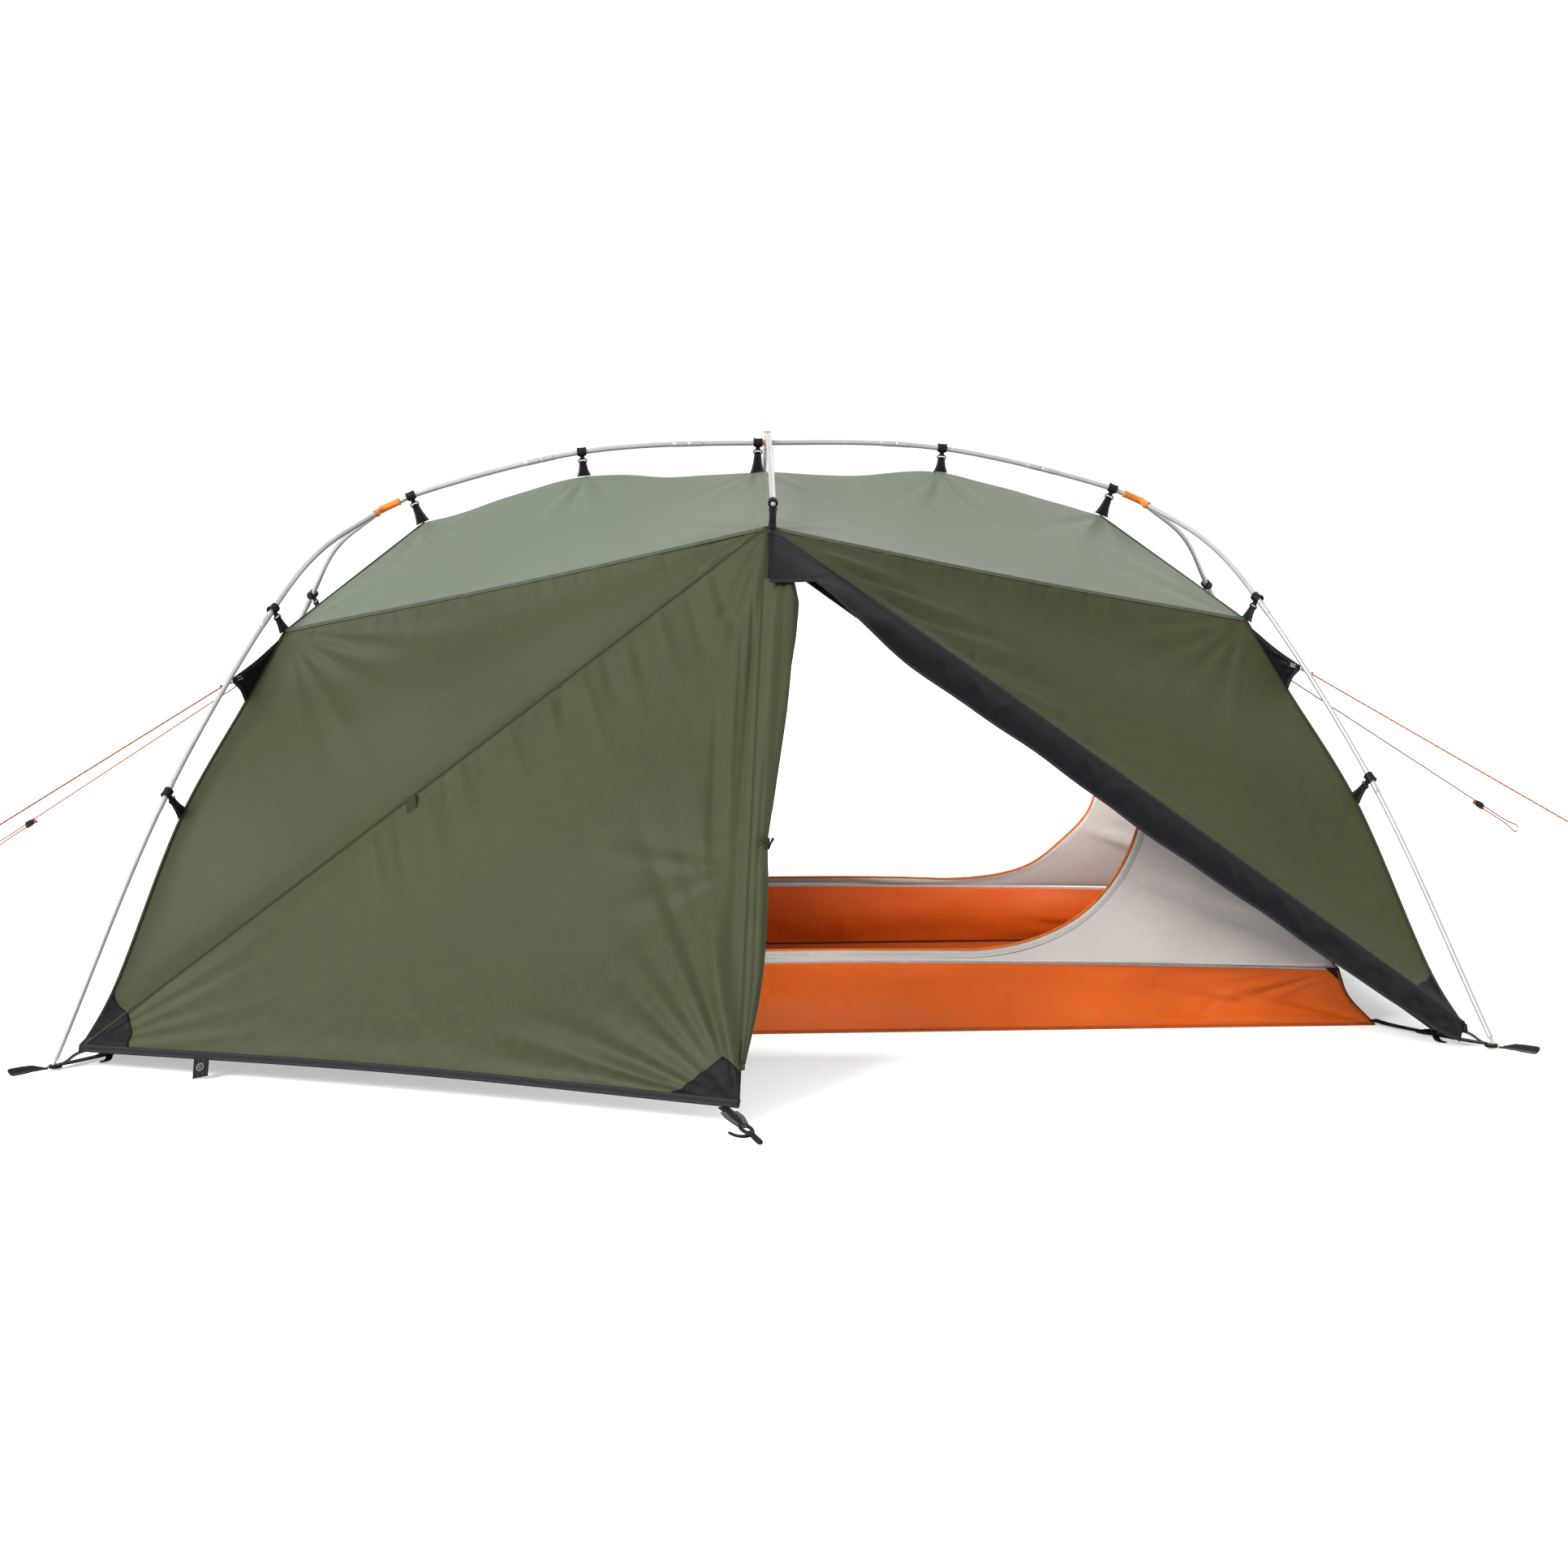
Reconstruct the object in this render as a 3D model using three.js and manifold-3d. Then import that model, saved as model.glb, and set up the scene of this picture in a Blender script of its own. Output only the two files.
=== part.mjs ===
// A two-person trekking tent that hangs from clips on an outside frame of bowed aluminium poles.
// Millimetres, +Z up. X runs along the ridge, Y from the front door (-Y) to the back door (+Y).
// The origin is on the ground at the middle of the tent.
import * as THREE from "three";
import { mergeVertices } from "three/addons/utils/BufferGeometryUtils.js";
import Module from "manifold-3d";

const wasm = await Module();
wasm.setup();

// ---------- driving dimensions ----------
// Corner sizes are given for the +X +Y quarter; the other quarters are mirrored.
const FOOT = new THREE.Vector3(1230, 784, 13); // end of a leg pole, in its foot cup
const HUB = new THREE.Vector3(728, 0, 931); // where two legs meet the ridge pole
const LEG_SHOULDER = new THREE.Vector3(830, 150, 858);
const LEG_CLIP_HIGH = new THREE.Vector3(901, 310, 756);
const LEG_CLIP_LOW = new THREE.Vector3(1068, 528, 443);
const RIDGE_TOP = 1050; // middle of the ridge pole
const RIDGE_CLIPS = [-672, -345, -10, 345, 672]; // X of the clips on the ridge pole
const POLE_RADIUS = 4.75;
const POLE_SIDES = 10;
const GAP = 0.4; // clearance between parts that touch

const CROSS_X = 10; // the cross pole passes over the ridge pole here
const CROSS_RADIUS = 5.5;
const CROSS_TOP = 1063;
const CROSS_TIP = new THREE.Vector3(CROSS_X, 460, 942);
const STUD_RADIUS = 2.5; // swivel stud through the cross pole

const CLOTH = 1.6; // thickness of a fabric panel
const SEAM = 2.5; // half the gap that panels leave along a seam
const FLY_CORNER = new THREE.Vector3(882, 300, 716);
const FLY_LOW = new THREE.Vector3(1046, 498, 404);
const FLY_HEM_CORNER = new THREE.Vector3(1192, 757, 28);
const FLY_RIDGE_END = new THREE.Vector3(650, 0, 904);
const FLY_RIDGE_MID = new THREE.Vector3(341, 0, 989);
const FLY_RIDGE_TOP = new THREE.Vector3(0, 0, 991);
const FLY_APEX = new THREE.Vector3(0, 460, 899); // top of each door
const FLY_STAKE = new THREE.Vector3(-70, 1345, 30); // hem point of the closed door half
const FLAP_WIDTH = 78;

const TUB = { bottomX: 1076, bottomY: 536, topX: 1012, topY: 524, height: 127 };
const INNER_RIDGE = { x: 540, z: 900 };
const DOOR = { foot: 22, low: 330, wide: 690, corner: 360, peak: 240, top: 830 };

const GUY_TIP = new THREE.Vector3(968, 380, 633); // tip of the corner gusset
const GUY_HEADING = THREE.MathUtils.degToRad(42); // away from X, seen from above
const GUY_DROP = 0.46; // fall for each unit of level run
const GUY_LENGTH = 1120; // gusset tip to the peg loop
const GUY_SLIDER_AT = 955;
const CORD_RADIUS = 1.5;
const LOOP_RADIUS = 8; // peg loop at the end of a guy line
const STRAND_GAP = 6.5; // between the two strands in the slider

const BLACK = 0x27272a;
const OLIVE = 0x58603f;
const SAGE = 0x8c9b87;
const ORANGE = 0xc0602a;
const GREY = 0xcdc9be;
const HUB_ORANGE = 0xe07a22;

const vec = (x, y, z) => new THREE.Vector3(x, y, z);
const mirrored = (v, sx, sy) => vec(v.x * sx, v.y * sy, v.z);
const lerp = (a, b, t) => a.clone().lerp(b, t);
const unit = (a, b) => b.clone().sub(a).normalize();
const UP = vec(0, 0, 1);

const SIDES_X = [["left", -1], ["right", 1]];
const SIDES_Y = [["front", -1], ["back", 1]];
const CORNERS = SIDES_Y.flatMap(([fb, sy]) => SIDES_X.map(([lr, sx]) => [`${fb}_${lr}`, sx, sy]));

// ---------- group and materials ----------
const tent = new THREE.Group();

function add(name, geometry, color, roughness = 0.7, metalness = 0) {
  const material = new THREE.MeshStandardMaterial({ color, roughness, metalness });
  const mesh = new THREE.Mesh(geometry, material);
  mesh.name = name;
  tent.add(mesh);
  return mesh;
}

const metal = (name, geometry) => add(name, geometry, 0xc9cbcc, 0.3, 0.9);
const fabric = (name, geometry, color) => add(name, geometry, color, 0.75);
const plastic = (name, geometry, color = BLACK) => add(name, geometry, color, 0.45);

// ---------- solids ----------
function toManifold(geometry) {
  const plain = geometry.index ? geometry.toNonIndexed() : geometry.clone();
  plain.deleteAttribute("normal");
  plain.deleteAttribute("uv");
  const merged = mergeVertices(plain, 1e-4);
  return new wasm.Manifold(new wasm.Mesh({
    numProp: 3,
    vertProperties: new Float32Array(merged.attributes.position.array),
    triVerts: new Uint32Array(merged.index.array),
  }));
}

function fromManifold(solid) {
  const { vertProperties, triVerts } = solid.getMesh();
  const geometry = new THREE.BufferGeometry();
  geometry.setAttribute("position", new THREE.BufferAttribute(new Float32Array(vertProperties), 3));
  geometry.setIndex(new THREE.BufferAttribute(new Uint32Array(triVerts), 1));
  return geometry;
}

function joined(...geometries) {
  return fromManifold(geometries.map(toManifold).reduce((a, b) => a.add(b)));
}

function cut(geometry, ...tools) {
  return fromManifold(tools.map(toManifold).reduce((a, b) => a.subtract(b), toManifold(geometry)));
}

function circle(radius, sides) {
  const shape = new THREE.Shape();
  for (let i = 0; i < sides; i += 1) {
    const a = (2 * Math.PI * (i + 0.5)) / sides;
    if (i === 0) shape.moveTo(radius * Math.cos(a), radius * Math.sin(a));
    else shape.lineTo(radius * Math.cos(a), radius * Math.sin(a));
  }
  shape.closePath();
  return shape;
}

// A round bar along a smooth curve.
function bar(curve, radius, sides, steps) {
  return new THREE.ExtrudeGeometry(circle(radius, sides), { steps, extrudePath: curve });
}

// A straight round bar between two points.
function rod(a, b, radius, sides = POLE_SIDES) {
  return bar(new THREE.LineCurve3(a, b), radius, sides, 1);
}

// A block whose own X runs along xAxis and whose Z faces zAxis; size is its full size along each.
function block(center, xAxis, zAxis, size) {
  const x = xAxis.clone().normalize();
  const y = zAxis.clone().cross(x).normalize();
  const z = x.clone().cross(y);
  const turn = new THREE.Matrix4().makeBasis(x, y, z).setPosition(center);
  return new THREE.BoxGeometry(...size).applyMatrix4(turn);
}

// ---------- fabric panels ----------
// A panel is a closed sheet of even thickness over a grid of points.
function sheet(rows, thickness = CLOTH) {
  const m = rows.length;
  const n = rows[0].length;
  const normalAt = (i, j) => {
    const du = rows[Math.min(i + 1, m - 1)][j].clone().sub(rows[Math.max(i - 1, 0)][j]);
    const dv = rows[i][Math.min(j + 1, n - 1)].clone().sub(rows[i][Math.max(j - 1, 0)]);
    return du.cross(dv).normalize();
  };
  const points = [];
  for (const side of [0.5, -0.5]) {
    for (let i = 0; i < m; i += 1) {
      for (let j = 0; j < n; j += 1) {
        points.push(rows[i][j].clone().addScaledVector(normalAt(i, j), side * thickness));
      }
    }
  }
  const top = (i, j) => i * n + j;
  const bottom = (i, j) => m * n + i * n + j;
  const faces = [];
  const quad = (a, b, c, d) => faces.push(a, b, c, a, c, d);
  for (let i = 0; i < m - 1; i += 1) {
    for (let j = 0; j < n - 1; j += 1) {
      quad(top(i, j), top(i + 1, j), top(i + 1, j + 1), top(i, j + 1));
      quad(bottom(i, j), bottom(i, j + 1), bottom(i + 1, j + 1), bottom(i + 1, j));
    }
  }
  for (let j = 0; j < n - 1; j += 1) {
    quad(top(0, j), top(0, j + 1), bottom(0, j + 1), bottom(0, j));
    quad(top(m - 1, j + 1), top(m - 1, j), bottom(m - 1, j), bottom(m - 1, j + 1));
  }
  for (let i = 0; i < m - 1; i += 1) {
    quad(top(i + 1, 0), top(i, 0), bottom(i, 0), bottom(i + 1, 0));
    quad(top(i, n - 1), top(i + 1, n - 1), bottom(i + 1, n - 1), bottom(i, n - 1));
  }
  const geometry = new THREE.BufferGeometry().setFromPoints(points);
  geometry.setIndex(faces);
  return geometry;
}

// An edge is a function of 0..1. A chain runs along one edge and then the next.
const edge = (...p) => {
  const curve = p.length === 2 ? new THREE.LineCurve3(...p) : new THREE.CatmullRomCurve3(p);
  return (t) => curve.getPoint(t);
};
const chain = (a, b) => (t) => (t < 0.5 ? a(2 * t) : b(2 * t - 1));

// Rows of points between four edges that share their corners (a Coons patch).
function patch(start, end, left, right, across, along) {
  const rows = [];
  for (let i = 0; i <= across; i += 1) {
    const s = i / across;
    const row = [];
    for (let j = 0; j <= along; j += 1) {
      const t = j / along;
      const point = start(t).multiplyScalar(1 - s).addScaledVector(end(t), s);
      point.addScaledVector(left(s), 1 - t).addScaledVector(right(s), t);
      point.addScaledVector(start(0), -(1 - s) * (1 - t)).addScaledVector(start(1), -(1 - s) * t);
      point.addScaledVector(end(0), -s * (1 - t)).addScaledVector(end(1), -s * t);
      row.push(point);
    }
    rows.push(row);
  }
  return rows;
}

// ---------- frame ----------
function ridgeCurve() {
  const half = [
    vec(698, 0, 944),
    vec(668, 0, 957),
    vec(345, 0, 1036),
  ];
  const left = half.map((p) => mirrored(p, -1, 1));
  return new THREE.CatmullRomCurve3([...left, vec(0, 0, RIDGE_TOP), ...half.reverse()]);
}

function legCurve(sx, sy) {
  const points = [lerp(HUB, LEG_SHOULDER, 0.1), LEG_SHOULDER, LEG_CLIP_HIGH, LEG_CLIP_LOW, FOOT];
  return new THREE.CatmullRomCurve3(points.map((p) => mirrored(p, sx, sy)));
}

const legs = new Map(CORNERS.map(([name, sx, sy]) => [name, legCurve(sx, sy)]));
const ridge = ridgeCurve();

function addPoles() {
  metal("ridge_pole", bar(ridge, POLE_RADIUS, POLE_SIDES, 30));
  for (const [name, curve] of legs) {
    metal(`leg_pole_${name}`, bar(curve, POLE_RADIUS, POLE_SIDES, 28));
  }
}

const beyond = (point, direction, distance) => point.clone().addScaledVector(direction, distance);

// A hub is a straight sleeve on the ridge pole with a stub for each of the two legs.
function addHub(name, sx) {
  const middle = mirrored(HUB, sx, 1);
  const ridgeEnd = ridge.getPoint(sx < 0 ? 0 : 1);
  const inwards = unit(ridgeEnd, ridge.getPoint(sx < 0 ? 0.02 : 0.98));
  const boreRadius = POLE_RADIUS + 2 * GAP;
  const socket = (end, direction) => {
    return rod(beyond(end, direction, -1), beyond(end, direction, 29), boreRadius, 12);
  };
  let body = rod(beyond(middle, inwards, -6), beyond(ridgeEnd, inwards, 14), 8.2, 12);
  const bores = [socket(ridgeEnd, inwards)];
  for (const sy of [-1, 1]) {
    const curve = legCurve(sx, sy);
    const start = curve.getPoint(0);
    const out = unit(start, curve.getPoint(0.02));
    body = joined(body, rod(beyond(middle, out, -6), beyond(start, out, 13), 7.2, 12));
    bores.push(socket(start, out));
  }
  plastic(name, cut(body, ...bores), HUB_ORANGE);
}

function crossCurve() {
  const points = [-1, -0.5, 0, 0.5, 1].map((k) => {
    const fall = (CROSS_TOP - CROSS_TIP.z) * k * k;
    return vec(CROSS_X, CROSS_TIP.y * k, CROSS_TOP - fall);
  });
  return new THREE.CatmullRomCurve3(points);
}

// The cross pole turns on a stud that stands on a saddle round the ridge pole.
function addCrossing() {
  const at = (z, dx = 0) => vec(CROSS_X + dx, 0, z);
  const hole = rod(at(CROSS_TOP - 20), at(CROSS_TOP + 20), STUD_RADIUS + GAP, 12);
  metal("cross_pole", cut(bar(crossCurve(), CROSS_RADIUS, POLE_SIDES, 18), hole));
  const saddleTop = CROSS_TOP - CROSS_RADIUS - 1.5 * GAP;
  const capUnder = CROSS_TOP + CROSS_RADIUS + 1.5 * GAP;
  const ridgeZ = ridge.getPoint(0.5).z;
  const saddleHeight = saddleTop - ridgeZ + 8;
  const saddle = block(at(saddleTop - saddleHeight / 2), vec(1, 0, 0), UP, [13, 16, saddleHeight]);
  const stud = rod(at(saddleTop - 1), at(capUnder + 1), STUD_RADIUS);
  const cap = rod(at(capUnder), at(capUnder + 3.4), 6.5, 16);
  const bore = rod(at(ridgeZ, -12), at(ridgeZ, 12), POLE_RADIUS + 2 * GAP, 12);
  plastic("cross_hub", cut(joined(saddle, stud, cap), bore), HUB_ORANGE);
}

// A socket on the tip of the cross pole, with a strap down to the top of the door.
function addApexStrap(name, sy) {
  const curve = crossCurve();
  const tip = curve.getPoint(sy < 0 ? 0 : 1);
  const inwards = unit(tip, curve.getPoint(sy < 0 ? 0.03 : 0.97));
  const socket = rod(beyond(tip, inwards, -7), beyond(tip, inwards, 14), 8.5, 16);
  const bore = rod(beyond(tip, inwards, -0.6), beyond(tip, inwards, 30), CROSS_RADIUS + 0.5, 16);
  const low = mirrored(FLY_APEX, 1, sy).add(vec(CROSS_X - 2, 0, 5));
  const down = unit(tip, low);
  const length = tip.distanceTo(low) - 6;
  const strap = block(beyond(low, down, -length / 2), vec(1, 0, 0), down, [14, 2.4, length]);
  fabric(name, cut(joined(socket, strap), bore), BLACK);
}

// ---------- clips ----------
// A hook round the pole at "at", with webbing that widens down to the fly at "to".
function clip(at, poleAxis, to) {
  const hook = rod(beyond(at, poleAxis, -7), beyond(at, poleAxis, 7), 9, 12);
  const bore = rod(beyond(at, poleAxis, -9), beyond(at, poleAxis, 9), POLE_RADIUS + 1, 12);
  const length = at.distanceTo(to) - 7;
  const outline = new THREE.Shape([
    new THREE.Vector2(-6, -7),
    new THREE.Vector2(6, -7),
    new THREE.Vector2(12, -length),
    new THREE.Vector2(-12, -length),
  ]);
  const web = new THREE.ExtrudeGeometry(outline, { depth: 2.4, bevelEnabled: false });
  web.translate(0, 0, -1.2);
  const up = unit(to, at);
  const normal = poleAxis.clone().cross(up).normalize();
  const level = up.clone().cross(normal).normalize();
  web.applyMatrix4(new THREE.Matrix4().makeBasis(level, up, normal).setPosition(at));
  return cut(joined(hook, web), bore);
}

function nearestOn(curve, point) {
  let best = 0;
  for (let i = 0; i <= 400; i += 1) {
    const nearer = curve.getPoint(i / 400).distanceTo(point) < curve.getPoint(best).distanceTo(point);
    if (nearer) best = i / 400;
  }
  return { at: curve.getPoint(best), axis: curve.getTangent(best) };
}

function addClips() {
  const landing = [
    mirrored(FLY_RIDGE_END, -1, 1),
    mirrored(FLY_RIDGE_MID, -1, 1),
    vec(RIDGE_CLIPS[2], 0, FLY_RIDGE_TOP.z),
    FLY_RIDGE_MID,
    FLY_RIDGE_END,
  ];
  RIDGE_CLIPS.forEach((x, i) => {
    const { at, axis } = nearestOn(ridge, vec(x, 0, RIDGE_TOP));
    plastic(`ridge_clip_${i + 1}`, clip(at, axis, landing[i]));
  });
  for (const [name, sx, sy] of CORNERS) {
    const high = nearestOn(legs.get(name), mirrored(LEG_CLIP_HIGH, sx, sy));
    plastic(`leg_clip_high_${name}`, clip(high.at, high.axis, mirrored(FLY_CORNER, sx, sy)));
    const low = nearestOn(legs.get(name), mirrored(LEG_CLIP_LOW, sx, sy));
    plastic(`leg_clip_low_${name}`, clip(low.at, low.axis, mirrored(FLY_LOW, sx, sy)));
  }
}

// ---------- fly sheet ----------
const cornerEdge = (sx, sy) => {
  const half = [FLY_CORNER, vec(944, 352, 600), FLY_LOW, vec(1150, 682, 108), FLY_HEM_CORNER];
  return edge(...half.map((p) => mirrored(p, sx, sy)));
};
// Pulls an edge towards a point by a fixed distance, which leaves the seam gap.
const inset = (fn, towards, distance) => (t) => {
  const p = fn(t);
  return p.addScaledVector(unit(p, towards), distance);
};
const roofSeam = (sx, sy) => edge(mirrored(FLY_APEX, sx, sy), mirrored(FLY_CORNER, sx, sy));

function ridgeLine(sx) {
  const sag = lerp(FLY_RIDGE_TOP, FLY_RIDGE_MID, 0.5).setZ(986);
  return edge(...[FLY_RIDGE_TOP, sag, FLY_RIDGE_MID, FLY_RIDGE_END].map((p) => mirrored(p, sx, 1)));
}

function addRoof() {
  const reversed = (fn) => (t) => fn(1 - t);
  const rows = [];
  for (const [, sy] of SIDES_Y) {
    const seam = inset(chain(reversed(roofSeam(-1, sy)), roofSeam(1, sy)), vec(0, 0, 960), SEAM);
    const top = inset(chain(reversed(ridgeLine(-1)), ridgeLine(1)), vec(0, 0, 960), SEAM);
    const left = edge(seam(0), top(0));
    const right = edge(seam(1), top(1));
    const half = patch(seam, top, left, right, 4, 12);
    if (sy < 0) rows.push(...half);
    else rows.push(...half.reverse().slice(1));
  }
  fabric("fly_roof", sheet(rows), SAGE);
}

function addFlyEnd(name, sx) {
  const inside = vec(sx * 500, 0, 380);
  const peak = mirrored(FLY_RIDGE_END, sx, 1);
  const [frontTop, backTop] = [-1, 1].map((sy) => mirrored(FLY_CORNER, sx, sy));
  const [frontHem, backHem] = [-1, 1].map((sy) => mirrored(FLY_HEM_CORNER, sx, sy));
  const top = inset(chain(edge(frontTop, peak), edge(peak, backTop)), inside, 2 * SEAM);
  const hem = inset(edge(frontHem, vec(sx * 1172, 0, 62), backHem), inside, 2 * SEAM);
  const front = inset(cornerEdge(sx, -1), inside, 2 * SEAM);
  const back = inset(cornerEdge(sx, 1), inside, 2 * SEAM);
  let end = sheet(patch(top, hem, front, back, 6, 8));
  for (const sy of [-1, 1]) end = joined(end, gusset(sx, sy));
  fabric(name, end, OLIVE);
}

// A reinforced triangle that stands out from the corner seam and takes the guy line.
function gusset(sx, sy) {
  const base = cornerEdge(sx, sy);
  const inside = vec(sx * 500, 0, 380);
  const tip = mirrored(GUY_TIP, sx, sy);
  const high = base(0.04);
  const low = base(0.26);
  const root = inset(edge(high, low), inside, 7);
  const end = edge(lerp(tip, high, 0.08), lerp(tip, low, 0.08));
  return sheet(patch(root, end, edge(root(0), end(0)), edge(root(1), end(1)), 3, 2), 2);
}

// Starts of edges that leave one point are spread a little, so that the cloth has a blunt corner.
const BLUNT = 16;
function fan(from, to) {
  const start = from.clone().addScaledVector(unit(from, to), BLUNT);
  return edge(start, to);
}

function addFlySides() {
  for (const [fb, sy] of SIDES_Y) {
    const apex = mirrored(FLY_APEX, 1, sy).add(vec(0, 0, -2 * SEAM));
    for (const [lr, sx] of SIDES_X) {
      const corner = mirrored(FLY_CORNER, sx, sy);
      const seam = fan(apex, corner.clone().add(vec(-6 * sx, sy * 2, -7)));
      const outer = inset(cornerEdge(sx, sy), vec(sx * 300, sy * 900, 400), 4);
      const diagonal = fan(apex, outer(1));
      const head = edge(seam(0), diagonal(0));
      const foot = edge(seam(1), ...[0.25, 0.5, 0.8].map(outer), outer(1));
      const side = patch(seam, diagonal, head, foot, 5, 8);
      if (sx > 0) {
        fabric(`fly_${fb}_${lr}`, sheet(side), OLIVE);
        continue;
      }
      const stake = mirrored(FLY_STAKE, 1, sy);
      const middle = fan(apex, stake);
      const hemCorner = diagonal(1);
      const hemLine = edge(hemCorner, lerp(hemCorner, stake, 0.5).add(vec(0, -sy * 14, 6)), stake);
      const door = patch(diagonal, middle, edge(diagonal(0), middle(0)), hemLine, 5, 8);
      fabric(`fly_${fb}_${lr}`, sheet([...side, ...door.slice(1)]), OLIVE);
    }
  }
}

// The weather flap along the open side of the door, with the zip behind it.
function flapEdges(sy) {
  const apex = mirrored(FLY_APEX, 1, sy).add(vec(6, 0, -20));
  const hem = mirrored(FLY_HEM_CORNER, 1, sy).add(vec(-26, sy * 2, 10));
  const along = unit(apex, hem);
  const face = mirrored(FLY_STAKE, 1, sy).sub(apex).cross(along).normalize();
  const fall = along.clone().cross(face).normalize();
  if (fall.z > 0) fall.negate();
  const down = unit(apex, mirrored(FLY_STAKE, 1, sy));
  const upper = edge(
    apex.clone().addScaledVector(along, 16).addScaledVector(fall, 4),
    hem.clone().addScaledVector(fall, 6),
  );
  const lower = edge(
    apex.clone().addScaledVector(down, FLAP_WIDTH).add(vec(8, 0, 0)),
    hem.clone().addScaledVector(along, -10).addScaledVector(fall, FLAP_WIDTH * 0.55),
  );
  return { upper, lower, along, fall };
}

function addFlaps() {
  for (const [fb, sy] of SIDES_Y) {
    const { upper, lower } = flapEdges(sy);
    const ends = [0, 1].map((t) => edge(upper(t), lower(t)));
    fabric(`storm_flap_${fb}`, sheet(patch(upper, lower, ...ends, 2, 8), 2.4), BLACK);
  }
}

// A round bundle whose thickness changes along its curve; radii are spread evenly along it.
function bundle(curve, radii, sides, steps) {
  const geometry = bar(curve, 1, sides, steps);
  const position = geometry.attributes.position;
  const point = new THREE.Vector3();
  for (let i = 0; i < position.count; i += 1) {
    point.fromBufferAttribute(position, i);
    const t = nearestParameter(curve, point);
    const k = Math.min(t * (radii.length - 1), radii.length - 1.001);
    const radius = THREE.MathUtils.lerp(radii[Math.floor(k)], radii[Math.floor(k) + 1], k % 1);
    const center = curve.getPoint(t);
    point.sub(center).multiplyScalar(radius).add(center);
    position.setXYZ(i, point.x, point.y, point.z);
  }
  return geometry;
}

function nearestParameter(curve, point) {
  let best = 0;
  let least = Infinity;
  for (let i = 0; i <= 240; i += 1) {
    const distance = curve.getPoint(i / 240).distanceToSquared(point);
    if (distance < least) {
      least = distance;
      best = i / 240;
    }
  }
  return best;
}

// The open half of each door is rolled up along the edge of the closed half, with a tie at its waist.
function addDoorRolls() {
  for (const [fb, sy] of SIDES_Y) {
    const apex = mirrored(FLY_APEX, 1, sy);
    const stake = mirrored(FLY_STAKE, 1, sy);
    const beside = [34, 30, 26, 24, 22];
    const route = [0.09, 0.3, 0.62, 0.8, 0.965].map((t, i) => lerp(apex, stake, t).add(vec(beside[i], 0, 0)));
    const curve = new THREE.CatmullRomCurve3(route);
    fabric(`door_roll_${fb}`, bundle(curve, [26, 22, 12, 17, 8], 8, 14), OLIVE);
  }
}

function addZipSliders() {
  for (const [fb, sy] of SIDES_Y) {
    const { upper, along, fall } = flapEdges(sy);
    const face = along.clone().cross(fall).normalize();
    if (face.y * sy > 0) face.negate();
    const at = lerp(upper(0), upper(1), 0.93).addScaledVector(fall, 16).addScaledVector(face, 9);
    const body = block(at, along, face, [13, 9, 6]);
    const pull = block(beyond(beyond(at, face, 3), along, -12), along, face, [24, 5, 2]);
    add(`zip_slider_${fb}`, joined(body, pull), 0x8a8c90, 0.35, 0.9);
  }
}

// ---------- inner tent ----------
function frustum(bottomX, bottomY, topX, topY, low, high) {
  const geometry = new THREE.BoxGeometry(2, 2, 1);
  const position = geometry.attributes.position;
  for (let i = 0; i < position.count; i += 1) {
    const isTop = position.getZ(i) > 0;
    const x = position.getX(i) * (isTop ? topX : bottomX);
    const y = position.getY(i) * (isTop ? topY : bottomY);
    position.setXYZ(i, x, y, isTop ? high : low);
  }
  return geometry;
}

function addTub() {
  const { bottomX, bottomY, topX, topY, height } = TUB;
  const outer = frustum(bottomX, bottomY, topX, topY, 0, height);
  const steep = 2 / height;
  const slackX = (bottomX - topX) * steep;
  const inner = frustum(bottomX - 2.5, bottomY - 2.5, topX - 2.5 - slackX, topY - 2.5, 2, height + 4);
  fabric("inner_tub", cut(outer, inner), ORANGE);
}

// Each long wall is flat, from the top of the tub up to the inner ridge, with a door in it.
function addInnerWalls() {
  for (const [fb, sy] of SIDES_Y) {
    const low = vec(0, sy * (TUB.topY - 2), TUB.height + 1);
    const high = vec(0, sy * 5, INNER_RIDGE.z);
    const slope = unit(low, high);
    const length = low.distanceTo(high);
    const bottomHalf = TUB.topX - 8;
    const outline = new THREE.Shape([
      new THREE.Vector2(-bottomHalf, 0),
      new THREE.Vector2(bottomHalf, 0),
      new THREE.Vector2(INNER_RIDGE.x, length),
      new THREE.Vector2(-INNER_RIDGE.x, length),
    ]);
    const { foot, low: side, wide, corner, peak, top } = DOOR;
    const door = new THREE.Path();
    door.moveTo(-corner, foot);
    door.lineTo(corner, foot);
    door.quadraticCurveTo(wide - 60, foot + 20, wide, side);
    door.quadraticCurveTo(wide - 60, top, peak, top);
    door.lineTo(-peak, top);
    door.quadraticCurveTo(-wide + 60, top, -wide, side);
    door.quadraticCurveTo(-wide + 60, foot + 20, -corner, foot);
    outline.holes.push(door);
    const form = { depth: CLOTH, bevelEnabled: false, curveSegments: 8 };
    const wall = new THREE.ExtrudeGeometry(outline, form);
    const normal = vec(1, 0, 0).cross(slope);
    wall.applyMatrix4(new THREE.Matrix4().makeBasis(vec(1, 0, 0), slope, normal).setPosition(low));
    fabric(`inner_wall_${fb}`, wall, GREY);
  }
}

function addInnerEnds() {
  for (const [lr, sx] of SIDES_X) {
    const low = TUB.topX - 2;
    const y = TUB.topY - 14;
    const bottom = edge(vec(sx * low, -y, TUB.height + 2), vec(sx * low, y, TUB.height + 2));
    const x = INNER_RIDGE.x + 8;
    const top = edge(vec(sx * x, -12, INNER_RIDGE.z - 22), vec(sx * x, 12, INNER_RIDGE.z - 22));
    const sides = [0, 1].map((t) => edge(top(t), bottom(t)));
    fabric(`inner_end_${lr}`, sheet(patch(top, bottom, ...sides, 4, 4)), GREY);
  }
}

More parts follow.
